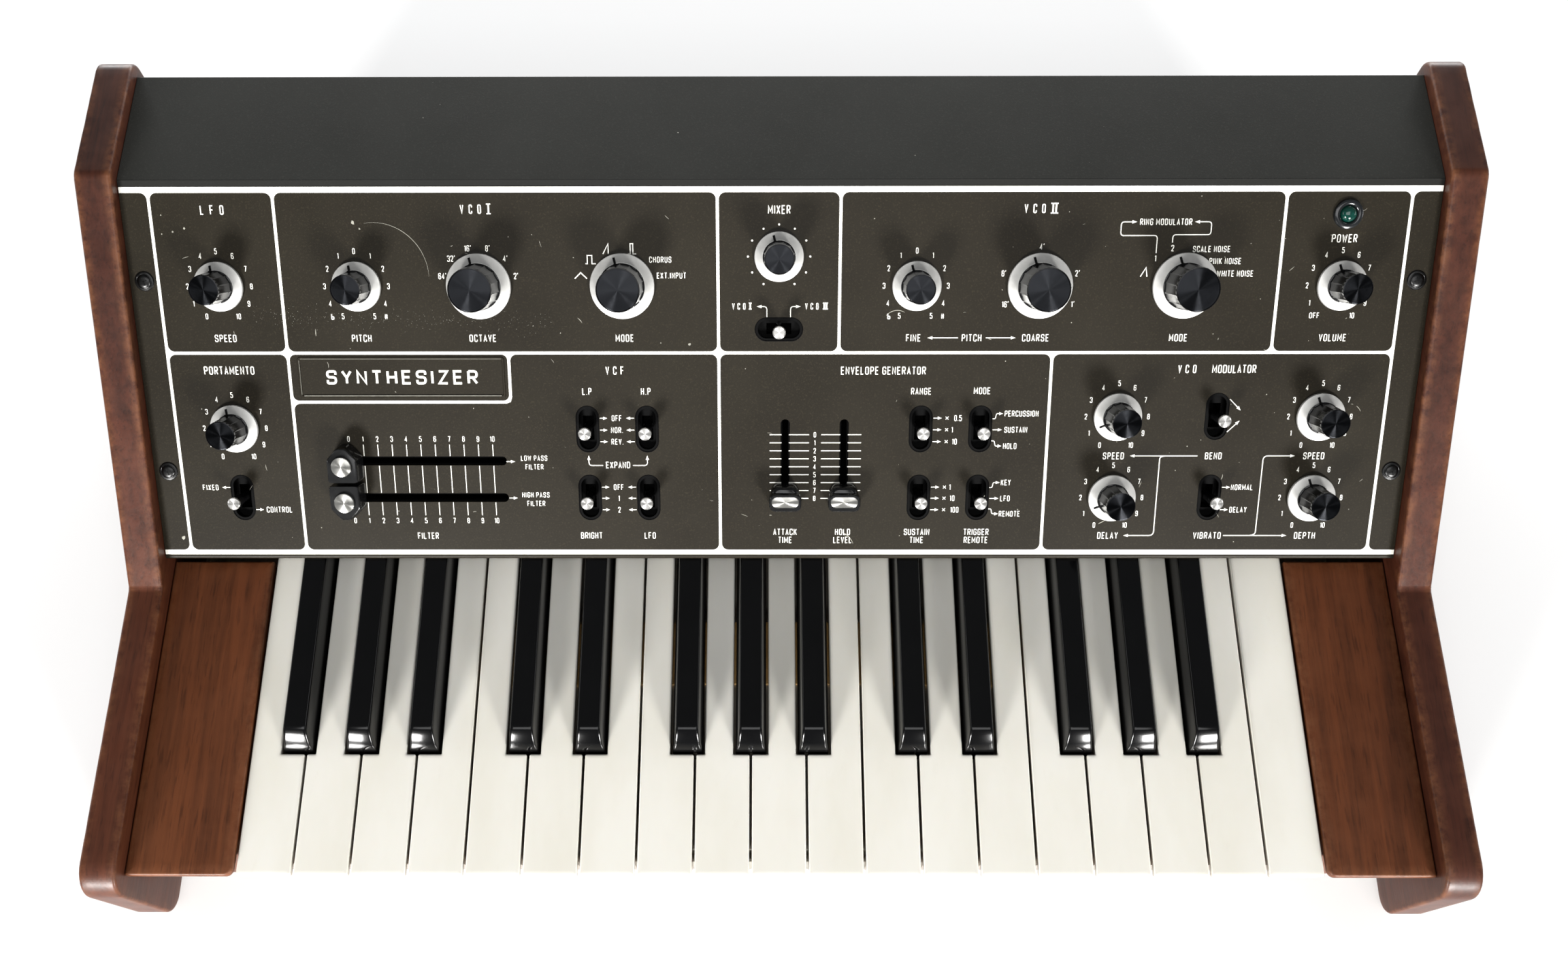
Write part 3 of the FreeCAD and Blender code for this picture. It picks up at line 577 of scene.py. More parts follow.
# ------------------------------------------------------------------ keys
PITCH = 23.5
WHITE_COUNT = 19
KEY_GAP = 1.1
HEAD_LENGTH = 50.5
NOTCH = 14.8
WHITE_NOTES = ["f", "g", "a", "b", "c", "d", "e"]
# Black keys by the white key before them: how far each middle is off the gap between white keys.
BLACK_AFTER = {"f": -3.2, "g": 0.0, "a": 3.0, "c": -2.1, "d": 2.6}
_, _, key_front, key_back, key_base, key_top = extent("keys_f")
keys_left = -PITCH * WHITE_COUNT / 2
_, _, black_front, _, _, black_top = extent("keys_f_sharp")
panel_foot = extent("front_panel")[2]
narrow_y = joints["press_f"]["pos_m"][1] / MM - 18.0


def black_centre(index):
    """Middle of the black key between a white key and the next, or None."""
    note = WHITE_NOTES[index % 7]
    if note not in BLACK_AFTER or not 0 <= index < WHITE_COUNT - 1:
        return None
    return keys_left + (index + 1) * PITCH + BLACK_AFTER[note]


def boss(middle):
    """Outline of the narrow end that turns on the rod."""
    return slab(middle - 4.3, middle + 4.3, narrow_y - 2.0, key_back, 0.0, 0.8, 3)


def white_key(index, shape, gap_shade):
    """White key, notched beside its black keys; gap_shade gathers how much painted shade each point gets."""
    left = keys_left + index * PITCH + KEY_GAP / 2
    right = left + PITCH - KEY_GAP
    tail_left, tail_right = left, right
    before, after = black_centre(index - 1), black_centre(index)
    if before is not None:
        tail_left = before + NOTCH / 2
    if after is not None:
        tail_right = after - NOTCH / 2
    notch_y = key_front + HEAD_LENGTH
    corners = [(left, key_front, 0.9), (right, key_front, 0.9)]
    if tail_right < right - 0.1:
        corners += [(right, notch_y, 0.7), (tail_right, notch_y, 0.5)]
    corners += [(tail_right, narrow_y, 0.0), (tail_left, narrow_y, 0.0)]
    if tail_left > left + 0.1:
        corners += [(tail_left, notch_y, 0.5), (left, notch_y, 0.7)]
    ease = 0.7
    # Third value of each level: painted shade on the key's sides, for the shade in the gaps between keys.
    levels = [(0.25, key_base, 1.0), (0.25, key_top - 3.0, 1.0), (0.0, key_top - 2.9, 0.9), (0.0, key_top - ease, 0.35)]
    levels += [(inset, key_top - drop, 0.0) for drop, inset in eased(ease, 4)]
    levels.append((1.9, key_top, 0.0))
    loops = []
    for inset, z, side in levels:
        ring = ring_of(corners, inset, [1] * len(corners), 4)
        if z < key_top - 2.95:
            ring = [(x, max(y, key_front + 5.2)) for x, y in ring]
        loops.append(level(ring, z))
        gap_shade += [side] * len(ring)
    shape.stack(loops)
    end = boss((tail_left + tail_right) / 2)
    shape.stack([level(end, key_base), level(end, key_top - 0.3), level(offset_outline(end, 0.3), key_top)])
    gap_shade += [0.3] * 3 * len(end)


def black_key(centre, shape):
    """Black key that runs back under the panel and ends in its arm and boss."""
    back = panel_foot + 23.0
    low, high = key_top, black_top
    # half width, distance behind the nose, height, corner radius
    levels = [
        (6.4, 0.0, low - 13.0, 0.5), (6.4, 0.0, low - 1.2, 0.5), (6.15, 0.25, low + 0.2, 0.7),
        (5.45, 1.8, low + 3.0, 0.9), (5.05, 4.7, low + 6.4, 1.0), (4.75, 6.9, high - 0.75, 1.2),
        (4.55, 7.6, high - 0.32, 1.3), (4.25, 8.3, high - 0.08, 1.3), (3.8, 9.2, high, 1.2),
    ]
    shape.stack([level(slab(centre - half, centre + half, black_front + run, back, radius, 0.0, 4), z)
                 for half, run, z, radius in levels])
    arm = slab(centre - 6.4, centre + 6.4, back - 4.0, narrow_y, 0.0, 0.6, 3)
    shape.stack([level(arm, key_base + 2.2), level(arm, low - 3.3), level(offset_outline(arm, 0.3), low - 3.0)])
    shape.stack([level(boss(centre), key_base + 2.2), level(boss(centre), low - 3.2)])


white_shapes = {}
black_shapes = {}
for number in range(WHITE_COUNT):
    note = WHITE_NOTES[number % 7]
    shape, gap_shade = white_shapes.setdefault("keys_" + note, (Shape(), []))
    white_key(number, shape, gap_shade)
    centre = black_centre(number)
    if centre is not None:
        black_key(centre, black_shapes.setdefault("keys_" + note + "_sharp", Shape()))
for node, (shape, gap_shade) in white_shapes.items():
    # The side attribute carries the painted gap shade of the white keys.
    wear_attribute(piece(node + "_ivory", shape, "ivory", node, (node,), sharp=40.0), "side", gap_shade)
for node, shape in black_shapes.items():
    piece(node + "_ebony", shape, "ebony", node, (node,), sharp=40.0)


# ------------------------------------------------------------------ knobs
def local_frame(x, row, turn=0.0):
    """Frame on the panel at x, row, turned clockwise by turn degrees."""
    spin = Matrix.Rotation(math.radians(-turn), 4, "Z")
    return panel_matrix @ Matrix.Translation(Vector((x, row, 0.0)) * MM) @ spin


def knob(node, pointer):
    x, row, _ = panel_place("turn_" + node[5:])
    left, right = extent(node)[:2]
    skirt_r = (right - left) / 2
    large = skirt_r > 12.0
    grip_r, cap_r, top, flutes = (9.15, 8.5, 20.0, 14) if large else (6.35, 5.8, 17.3, 12)
    shoulder = grip_r + 0.35
    matrix = local_frame(x, row, pointer)
    base = 0.5
    skirt = Shape()
    skirt.lathe([
        (3.4, base), (skirt_r - 0.25, base), (skirt_r, base + 0.2), (skirt_r, base + 1.15),
        (skirt_r - 0.12, base + 1.38), (skirt_r - 0.4, base + 1.5), (shoulder + 0.35, base + 2.55),
        (shoulder + 0.1, base + 2.8), (shoulder - 0.4, base + 2.85), (3.4, base + 2.85), (3.4, base),
    ], 96)
    piece(node + "_skirt", skirt, "skirt", node, matrix=matrix, sharp=28.0)

    def fluted(radius, height, angle):
        """Flat facets with thin ribs between them."""
        if radius < cap_r + 0.1 or height < base + 3.4 or height > top - 0.5:
            return radius
        half = math.pi / flutes
        across = (angle % (2 * half)) - half
        facet = radius * math.cos(half) / math.cos(across) - 0.12
        rib = max(0.0, abs(across) / half - 0.86) / 0.14
        return facet + (radius - facet) * rib
    grip = Shape()
    grip.lathe([
        (2.9, base + 2.8), (shoulder - 0.3, base + 2.8), (shoulder, base + 3.0), (shoulder, base + 3.3),
        (grip_r + 0.15, base + 3.45), (grip_r + 0.12, base + 4.2), (grip_r, base + 8.0),
        (grip_r - 0.18, top - 2.0), (grip_r - 0.22, top - 0.8), (grip_r - 0.34, top - 0.35),
        (cap_r + 0.2, top - 0.05), (cap_r, top - 0.02), (cap_r - 0.1, top - 0.35), (2.9, top - 0.35),
        (2.9, base + 2.8),
    ], 168, radius_at=fluted)
    piece(node + "_grip", grip, "grip", node, (node,), matrix, 25.0)
    cap = Shape()
    rings = [(0.0, top - 0.5), (cap_r - 0.12, top - 0.5), (cap_r - 0.12, top - 0.16), (cap_r - 0.3, top - 0.10)]
    r = cap_r - 0.5
    while r > 0.6:
        rings += [(r, top - 0.13), (r - 0.12, top - 0.115)]
        r -= 0.45
    cap.lathe(rings + [(0.0, top - 0.16)], 72)
    piece(node + "_cap", cap, "cap", node, matrix=matrix, sharp=60.0)

    # Pointer: a strip down the skirt's cone and a rib up the grip's foot.
    mark = Shape()
    half = 0.48
    inner, outer = shoulder - 0.3, skirt_r - 1.25
    slope = 1.05 / (skirt_r - 0.4 - shoulder - 0.35)
    run = []
    for k in range(9):
        radius = inner + (outer - inner) * k / 8
        run.append((radius, min(base + 2.87, base + 1.5 + (skirt_r - 0.4 - radius) * slope)))
    mark.stack([[(half, r, z + lift) for r, z in run] + [(-half, r, z + lift) for r, z in reversed(run)]
                for lift in (-0.25, 0.16)], cap_low=False, cap_high=False)
    mark.faces += [(18 + k, 19 + k, 34 - k, 35 - k) for k in range(8)]
    rise = base + 2.0
    mark.stack([
        [(-half, grip_r - 0.8, rise), (half, grip_r - 0.8, rise), (half, shoulder + 0.1, rise),
         (-half, shoulder + 0.1, rise)],
        [(-half, grip_r - 0.8, base + 5.2), (half, grip_r - 0.8, base + 5.2),
         (half, grip_r + 0.5, base + 4.4), (-half, grip_r + 0.5, base + 4.4)],
    ])
    piece(node + "_pointer", mark, "pointer", node, matrix=matrix, sharp=None)


knob_pointers = {name[5:]: -15.0 for name in joints if name.startswith("turn_")}
knob_pointers["mod_speed"] = -119.0
knob_pointers["mod_delay"] = -119.0
for name, pointer in knob_pointers.items():
    knob("knob_" + name, pointer)


# ------------------------------------------------------------------ levers and their wells
rim = Shape()
TIP = 11.5
WELL_WIDTH, WELL_LENGTH = 9.6, 19.8
for name in joints:
    if not name.startswith("tilt_"):
        continue
    node = "lever_" + name[5:]
    x, row, depth = panel_place(name)
    sideways = abs(joints[name]["axis"][0]) < 0.5
    matrix = local_frame(x, row, 90.0 if sideways else 0.0)
    stalk = Shape()
    stalk.lathe([
        (0.0, depth - 3.0), (1.5, depth - 3.0), (1.9, depth - 2.6), (1.9, -1.0), (1.95, 0.0),
        (2.25, 5.0), (2.45, TIP - 2.2), (2.5, TIP - 1.5), (2.5, TIP - 1.2), (0.0, TIP - 1.2),
    ], 36)
    stalk.block(4.3, 1.0, depth - 1.0, depth + 0.7)
    piece(node + "_stalk", stalk, "grip", node, (node,), matrix)
    tip = Shape()
    tip.lathe([
        (0.0, TIP - 1.4), (2.5, TIP - 1.4), (2.66, TIP - 1.2), (2.7, TIP - 0.75), (2.6, TIP - 0.3),
        (2.42, TIP - 0.1), (2.3, TIP - 0.06), (2.2, TIP - 0.16), (1.2, TIP - 0.2), (0.0, TIP - 0.2),
    ], 48)
    piece(node + "_tip", tip, "tip", node, matrix=matrix, sharp=30.0)
    wide, tall = (WELL_LENGTH, WELL_WIDTH) if sideways else (WELL_WIDTH, WELL_LENGTH)
    outer = obround(x, row, wide + 0.35, tall + 0.35)
    inner = obround(x, row, wide - 0.3, tall - 0.3)
    rim.stack([level(outer, 0.02), level(offset_outline(outer, 0.2), 0.13), level(inner, 0.02),
               level(inner, -1.2), level(outer, 0.02)], cap_low=False, cap_high=False)
piece("well_rims", rim, "well", "case", matrix=panel_matrix, sharp=60.0)


# ------------------------------------------------------------------ sliders
STEM_LOW, STEM_HIGH = -8.8, 0.8


def slider_side(node, row, point):
    """Cap of a sideways slider, with its blunt point uphill (1) or downhill (-1)."""
    low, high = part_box(node)
    x = (panel_matrix.inverted() @ ((low + high) / 2)).x / MM
    matrix = local_frame(x - 0.5, row)

    def ring(grow, z, radius):
        corners = [(-5.6 - grow, -7.0), (5.6 + grow, -7.0), (5.6 + grow, 2.0 + grow),
                   (2.0, 7.0 + grow), (-2.0, 7.0 + grow), (-5.6 - grow, 2.0 + grow)]
        loop = rounded_outline([(a, b, radius if b < -3.0 else 2.6) for a, b in corners], 5)
        return level([(a * point, b * point) for a, b in loop], z)
    body = Shape()
    body.stack([ring(1.05, 0.6, 0.8), ring(1.0, 1.2, 0.8), ring(0.75, 8.9, 0.9), ring(0.55, 9.35, 0.9),
                ring(0.2, 9.6, 0.9)])
    body.block(1.4, 0.85, STEM_LOW, STEM_HIGH)
    body.lathe([(0.0, 9.0), (4.55, 9.0), (4.5, 9.8), (4.35, 10.1), (0.0, 10.1)], 48)
    piece(node + "_cap", body, "slider", node, (node,), matrix, 30.0)
    disc = Shape()
    disc.lathe([(0.0, 9.9), (4.15, 9.9), (4.2, 10.5), (4.1, 10.8), (3.9, 10.92), (2.0, 10.97), (0.0, 10.98)], 64)
    piece(node + "_disc", disc, "button", node, matrix=matrix, sharp=30.0)


def slider_upright(node, row):
    left, right = extent(node)[:2]
    matrix = local_frame((left + right) / 2, row)

    def foot(grow, z):
        return level(rounded_outline([
            (-6.3 - grow, -4.5 - grow, 2.6 + grow), (6.3 + grow, -4.5 - grow, 2.6 + grow),
            (5.6 + grow, 6.0 + grow, 3.4), (-5.6 - grow, 6.0 + grow, 3.4)], 6), z)

    def bar_ring(grow, z):
        return level(slab(-6.75 - grow, 6.75 + grow, -3.9 - grow, 3.6 + grow, 2.6, 2.6, 8), z)
    body = Shape()
    body.stack([foot(0.3, 0.6), foot(0.25, 5.2), foot(-0.15, 6.6), foot(-0.9, 7.3)])
    body.stack([bar_ring(0.1, 5.0), bar_ring(0.1, 8.9), bar_ring(0.0, 9.7), bar_ring(-0.3, 10.1)])
    body.block(0.85, 1.4, STEM_LOW, STEM_HIGH)
    piece(node + "_cap", body, "slider", node, (node,), matrix)
    pill = Shape()
    pill.stack([level(obround(0.0, 0.3, 11.5 - 2 * inset, 4.8 - 2 * inset), z)
                for inset, z in ((0.1, 9.8), (0.0, 10.15), (0.15, 10.4), (0.5, 10.52))])
    piece(node + "_bar", pill, "button", node, matrix=matrix, sharp=30.0)


slider_side("slider_low_pass", 41.1, 1)
slider_side("slider_high_pass", 25.5, -1)
slider_upright("slider_attack", 25.5)
slider_upright("slider_level", 25.5)


# ------------------------------------------------------------------ lamp, screws, name plate
low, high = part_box("power_lamp")
lamp_frame = local_frame((panel_matrix.inverted() @ ((low + high) / 2)).x / MM, 143.4)
bezel = Shape()
bezel.lathe([
    (3.25, -6.0), (4.85, -6.0), (4.85, 0.0), (5.95, 0.02), (6.0, 0.5), (5.7, 1.2), (5.0, 1.58), (4.3, 1.6),
    (3.7, 1.3), (3.3, 0.7), (3.25, -6.0),
], 64)
piece("power_lamp_bezel", bezel, "bezel", "case", ("power_lamp",), lamp_frame)
lens = Shape()
lens.lathe([
    (0.0, -5.0), (3.15, -5.0), (3.15, 0.9), (3.0, 1.5), (2.6, 2.1), (2.0, 2.55), (1.2, 2.85), (0.0, 2.95),
], 48)
piece("power_lamp_lens", lens, "lens", "case", matrix=lamp_frame)

screws = Shape()
for x, row in [(-261.5, 117.1), (261.5, 117.1), (-261.5, 37.1), (261.5, 37.1)]:
    place = Matrix.Translation(Vector((x, row, 0.0)))
    screws.lathe([
        (1.4, -8.5), (1.4, 0.0), (3.95, 0.0), (4.0, 0.18), (3.7, 0.5), (3.1, 0.62), (2.85, 0.45), (2.7, 0.5),
        (2.62, 0.9), (2.2, 1.18), (1.5, 1.33), (0.0, 1.38),
    ], 40, place)
    for turn in (20.0, 110.0):
        spin = place @ Matrix.Rotation(math.radians(turn), 4, "Z")
        screws.block(1.7, 0.3, 1.0, 1.39, 0.15, 0.06, spin)
piece("panel_screw_heads", screws, "screw", "case", ("panel_screws",), panel_matrix, 30.0)

plate = Shape()
plate.stack([level(slab(-201.8 - grow, -114.9 + grow, 68.4 - grow, 86.0 + grow, 1.2, 1.2, 4), z)
             for grow, z in ((0.0, 0.005), (-0.25, 0.42), (-0.85, 0.42), (-1.1, 0.008))], cap_low=False)
piece("name_plate", plate, "panel", "case", matrix=panel_matrix, sharp=25.0)
# Painted highlights: thin pale lines along the name plate's frame, for the light caught on its bevelled edges.
plate_highlights = Shape()
for x0, x1, y0, y1 in ((-200.0, -116.6, 69.45, 69.85), (-200.4, -116.2, 85.0, 85.25), (-201.0, -200.75, 70.0, 84.6)):
    middle = Matrix.Translation(Vector(((x0 + x1) / 2, (y0 + y1) / 2, 0.0)))
    plate_highlights.block((x1 - x0) / 2, (y1 - y0) / 2, 0.2, 0.46, 0.05, 0.05, middle)
piece("name_plate_highlights", plate_highlights, "edge", "case", matrix=panel_matrix, sharp=None)


# ------------------------------------------------------------------ printed lines, scales and plain words
ink = Shape()
INK_LOW = 0.012
INK_HIGH = 0.05


def fill(points):
    """Adds a printed patch inside an outline, whichever way round it runs."""
    area = sum(ax * by - bx * ay for (ax, ay), (bx, by) in zip(points[-1:] + points[:-1], points))
    if area < 0:
        points = points[::-1]
    ink.stack([level(points, INK_LOW), level(points, INK_HIGH)], cap_low=False)


def bar(x0, x1, y0, y1):
    fill([(x0, y0), (x1, y0), (x1, y1), (x0, y1)])


def corner_patch(x, y, sx, sy, radius=2.7):
    """Fills the outside of a rounded corner: sx, sy point into the cell."""
    points = [(x, y)]
    for k in range(7):
        a = math.pi / 2 * k / 6
        points.append((x + sx * radius * (1 - math.sin(a)), y + sy * radius * (1 - math.cos(a))))
    fill(points)


def cell(x0, x1, y0, y1, corners="abcd", radius=2.7):
    marks = {"a": (x0, y0, 1, 1), "b": (x1, y0, -1, 1), "c": (x1, y1, -1, -1), "d": (x0, y1, 1, -1)}
    for key in corners:
        corner_patch(*marks[key], radius)


def rounded_path(points, reach, share, steps):
    """Open path with its corners turned into short curves, at most share of each run."""
    path = [points[0]]
    for i in range(1, len(points) - 1):
        p, a, b = Vector(points[i]), Vector(points[i - 1]), Vector(points[i + 1])
        near = min(reach, (a - p).length * share, (b - p).length * share)
        start = p + (a - p).normalized() * near
        end = p + (b - p).normalized() * near
        for k in range(steps + 1):
            t = k / steps
            path.append(tuple((1 - t) ** 2 * start + 2 * t * (1 - t) * p + t * t * end))
    return path + [points[-1]]


def edges(points, width, limit):
    """Left and right edges of a strip of even width; limit holds back its sharpest corners."""
    left, right = [], []
    for i, point in enumerate(points):
        p = Vector(point)
        before = (p - Vector(points[i - 1])).normalized() if i else None
        after = (Vector(points[i + 1]) - p).normalized() if i < len(points) - 1 else None
        direction = before if after is None else after if before is None else (before + after).normalized()
        side = Vector((-direction.y, direction.x))
        reach = width / 2
        if before is not None and after is not None:
            reach /= max(limit, side.dot(Vector((-before.y, before.x))))
        left.append(tuple(p + side * reach))
        right.append(tuple(p - side * reach))
    return left, right


def stroke(points, width=0.42, rounded=0.0):
    """Line of even width through points."""
    if rounded:
        points = rounded_path(points, rounded, 0.5, 5)
    left, right = edges(points, width, 0.5)
    for i in range(len(points) - 1):
        fill([right[i], right[i + 1], left[i + 1], left[i]])


def arrow(points, width=0.36, rounded=0.0, length=2.0):
    """Line that ends in a filled head."""
    tip = Vector(points[-1])
    d = (tip - Vector(points[-2])).normalized()
    s = Vector((-d.y, d.x)) * 1.35 / 2
    stroke(points[:-1] + [tuple(tip - d * length * 0.8)], width, rounded)
    fill([tuple(tip), tuple(tip - d * length + s), tuple(tip - d * length - s)])


# Condensed block letters drawn with one stroke width: strokes on a grid 8 high; a "~" path has round corners.
LETTERS = {
    "A": (4, "0,0 2,8 4,0|0.8,2.4 3.2,2.4"),
    "B": (4, "0,0 0,8|~0,8 3.9,8 3.9,4.2 0,4.2|~0,4.2 4,4.2 4,0 0,0"),
    "C": (4, "~4,5.7 4,8 0,8 0,0 4,0 4,2.3"),
    "D": (4, "0,0 0,8|~0,8 4,8 4,0 0,0"),
    "E": (3.6, "3.6,8 0,8 0,0 3.6,0|0,4.1 3.2,4.1"),
    "F": (3.6, "3.6,8 0,8 0,0|0,4.1 3.2,4.1"),
    "G": (4, "~4,5.9 4,8 0,8 0,0 4,0 4,3.9|4,3.9 2.2,3.9"),
    "H": (4, "0,0 0,8|4,0 4,8|0,4.1 4,4.1"),
    "I": (0, "0,0 0,8"),
    "K": (4, "0,0 0,8|3.8,8 0,3|1.3,4.8 4,0"),
    "L": (3.4, "0,8 0,0 3.4,0"),
    "M": (5.2, "0,0 0,8 2.6,2.2 5.2,8 5.2,0"),
    "N": (4, "0,0 0,8 4,0 4,8"),
    "O": (4, "~0,4 0,8 4,8 4,0 0,0 0,4"),
    "P": (4, "0,0 0,8|~0,8 4,8 4,3.7 0,3.7"),
    "R": (4, "0,0 0,8|~0,8 4,8 4,3.9 0,3.9|1.9,3.9 4,0"),
    "S": (4, "~4,5.8 4,8 0,8 0,4.1 4,4.1 4,0 0,0 0,2.2"),
    "T": (4, "2,0 2,8|0,8 4,8"),
    "U": (4, "~0,8 0,0 4,0 4,8"),
    "V": (4, "0,8 2,0 4,8"),
    "W": (5.6, "0,8 1.4,0 2.8,6.6 4.2,0 5.6,8"),
    "X": (4, "0,0 4,8|0,8 4,0"),
    "Y": (4, "0,8 2,3.7 4,8|2,3.7 2,0"),
    "Z": (4, "0,8 4,8 0,0 4,0"),
    "0": (3.6, "~0,4 0,8 3.6,8 3.6,0 0,0 0,4"),
    "1": (1.3, "1.3,0 1.3,8|1.3,8 0,6.5"),
    "2": (3.6, "~0,5.9 0,8 3.6,8 3.6,5 0,0|0,0 3.7,0"),
    "3": (3.6, "~0,6.2 0,8 3.6,8 3.6,4.2 1.2,4.2|~1.2,4.2 3.6,4.2 3.6,0 0,0 0,1.8"),
    "4": (3.9, "2.8,0 2.8,8 0,2.2 3.9,2.2"),
    "5": (3.6, "3.5,8 0.2,8 0,4.4|~0,4.7 3.6,4.9 3.6,0 0,0 0,1.8"),
    "6": (3.6, "~3.6,6.3 3.6,8 0,8 0,0 3.6,0 3.6,4.7 0,4.7"),
    "7": (3.6, "0,8 3.6,8 1.4,0"),
    "8": (3.6, "~1.8,4.2 0.1,4.2 0.1,8 3.5,8 3.5,4.2 1.8,4.2|~1.8,4.2 0,4.2 0,0 3.6,0 3.6,4.2 1.8,4.2"),
    "9": (3.6, "~0,1.7 0,0 3.6,0 3.6,8 0,8 0,3.4 3.6,3.4"),
    ".": (0, "0,0 0,0.5"),
    "'": (0.5, "0.5,8.6 0,6.6"),
    "b": (2.6, "0,0 0,8|~0,4 2.6,4 2.6,0 0,0"),
    "#": (3.6, "0.9,0 0.9,8|2.7,0 2.7,8|0,2.4 3.6,3|0,5 3.6,5.6"),
}


def ribbon(points, width):
    """Closed strip of even width along an open path."""
    verts = []
    for (ax, ay), (bx, by) in zip(*edges(points, width, 0.55)):
        verts += [(ax, ay, INK_HIGH), (bx, by, INK_HIGH), (bx, by, INK_LOW), (ax, ay, INK_LOW)]
    end = len(verts) - 4
    faces = [(3, 2, 1, 0), (end, end + 1, end + 2, end + 3)]
    for a in range(0, end, 4):
        faces += [(a + k, a + (k + 1) % 4, a + 4 + (k + 1) % 4, a + 4 + k) for k in range(4)]
    ink.put(verts, faces)


# Shares of the letter height: stroke width, width of a grid unit at squeeze 1, and a word space.
STROKE_SHARE, UNIT_SHARE, SPACE_SHARE = 0.122, 0.0875 / 0.60, 0.30
GRID_ROWS = 8.0


def words(text, x, y, height=3.1, squeeze=0.60, gap=0.60, weight=1.0):
    """Centred condensed capitals; gap is about the air between letters in mm."""
    thick = height * STROKE_SHARE * weight
    unit = height * UNIT_SHARE * squeeze
    air = gap * (0.86 if gap < 1.0 else 1.1)
    rise = (height - thick) / GRID_ROWS
    pen = 0.0
    letters = []
    for letter in text:
        if letter == " ":
            pen += height * SPACE_SHARE
            continue
        wide, strokes = LETTERS[letter]
        letters += [(path, pen) for path in strokes.split("|")]
        pen += wide * unit + thick + (air if letter != "'" else air * 0.5)
    left = x + (thick - (pen - air)) / 2
    for path, start in letters:
        pairs = [[float(c) for c in pair.split(",")] for pair in path.lstrip("~").split()]
        points = [(left + start + u * unit, y - (height - thick) / 2 + v * rise) for u, v in pairs]
        if path.startswith("~"):
            points = rounded_path(points, unit * 2.0, 0.49, 4)
        ribbon(points, thick)


def print_words(height, squeeze, gap, *rows):
    """Prints (text, x, y) rows in one size of letter."""
    for text, x, y in rows:
        words(text, x, y, height, squeeze, gap)


def pointers(length, *rows):
    """Short level arrows: (x of the tail, x of the tip, y)."""
    for x0, x1, y in rows:
        arrow([(x0, y), (x1, y)], length=length)


def roman(x, y, count, height=4.3):
    """Serifed roman numeral of one or two strokes."""
    step = height * 0.30
    left = x - step * (count - 1) / 2
    for i in range(count):
        bar(left + step * i - 0.33, left + step * i + 0.33, y - height / 2, y + height / 2)
    for end in (-1, 1):
        edge_y = y + end * height / 2
        low, high = sorted((edge_y, edge_y - end * 0.5))
        bar(left - height * 0.2, left + step * (count - 1) + height * 0.2, low, high)


# Bands along the top and bottom edge, and the lines between the fields.
edge = extent("front_panel")[1] - 0.15
TOP0, TOP1 = 152.2, 154.5
LOW0, LOW1 = 0.1, 2.2
ROW = 87.55
HALF = 0.62
LEFT, A, B, C, D, E, RIGHT = -255.8, -205.4, -25.1, 25.0, 114.0, 205.0, 255.5
PLATE_RIGHT, PLATE_LOW = -113.0, 66.9
UPPER = (LEFT, A, B, C, E, RIGHT)
bar(-edge, edge, TOP0, TOP1)
bar(-edge, edge, LOW0, LOW1)
for x, low, high in [(LEFT, LOW1, TOP0), (RIGHT, LOW1, TOP0)] + [(x, ROW + HALF, TOP0) for x in UPPER[1:-1]] + [
        (x, LOW1, ROW - HALF) for x in (A, B, D)] + [(PLATE_RIGHT, PLATE_LOW + 2.0, ROW - HALF)]:
    bar(x - HALF, x + HALF, low, high)
bar(LEFT + HALF, RIGHT - HALF, ROW - HALF, ROW + HALF)
bar(A + HALF, PLATE_RIGHT - 2.0, PLATE_LOW - HALF, PLATE_LOW + HALF)
stroke([(PLATE_RIGHT - 2.05, PLATE_LOW), (PLATE_RIGHT - 0.55, PLATE_LOW + 0.55), (PLATE_RIGHT, PLATE_LOW + 2.05)],
       2 * HALF)
for x0, x1 in zip(UPPER, UPPER[1:]):
    cell(x0 + HALF, x1 - HALF, ROW + HALF, TOP0)
for x0, x1, corners in ((LEFT, A, "abcd"), (B, D, "abcd"), (D, RIGHT, "abcd"), (A, B, "abc")):
    cell(x0 + HALF, x1 - HALF, LOW1, ROW - HALF, corners)
cell(-edge, LEFT - HALF, LOW1, TOP0, "bc")
cell(RIGHT + HALF, edge, LOW1, TOP0, "ad")
cell(A + HALF, PLATE_RIGHT - HALF, PLATE_LOW + HALF, ROW - HALF, radius=2.4)
corner_patch(A + HALF, PLATE_LOW - HALF, 1, -1)
corner_patch(PLATE_RIGHT + HALF, ROW - HALF, 1, -1)


def scale_ring(x, y, radius, labels, start=-150.0, height=2.4, tall=1.07):
    """Labels every 30 degrees around a knob."""
    for i, label in enumerate(labels):
        a = math.radians(start + 30.0 * i)
        words(label, x + radius * math.sin(a), y + radius * math.cos(a) * tall, height, 0.62, 0.35)


tenths = [str(i) for i in range(11)]
places = {name[5:]: panel_place(name)[:2] for name in joints if name.startswith("turn_")}
for name in ("lfo_speed", "portamento", "mod_speed", "mod_delay", "vibrato_speed", "vibrato_depth"):
    scale_ring(*places[name], 13.2, tenths)
x, y = places["volume"]
scale_ring(x - 0.7, y, 13.2, tenths[1:], -120.0)
words("OFF", x - 9.6, y - 12.2, 2.4, 0.62, 0.5)
for name in ("osc1_pitch", "osc2_fine"):
    x, y = places[name]
    scale_ring(x - 0.2, y, 13.2, "54321012345")
    words("b", x - 11.1, y - 12.4, 2.5, 0.95, 0.3, 1.35)
    words("#", x + 11.1, y - 12.4, 2.3, 1.0, 0.3, 1.1)
x, y = places["osc1_octave"]
scale_ring(x + 0.2, y, 15.7, ["64'", "32'", "16'", "8'", "4'", "2'"], -75.0, 2.5, 1.0)
x, y = places["osc2_coarse"]
for label, angle in (("16'", -119.0), ("8'", -71.5), ("4'", 0.0), ("2'", 71.5), ("1'", 119.0)):
    a = math.radians(angle)
    words(label, x + 15.9 * math.sin(a), y + 15.6 * math.cos(a), 2.5, 0.62, 0.35)
x, y = places["mixer"]
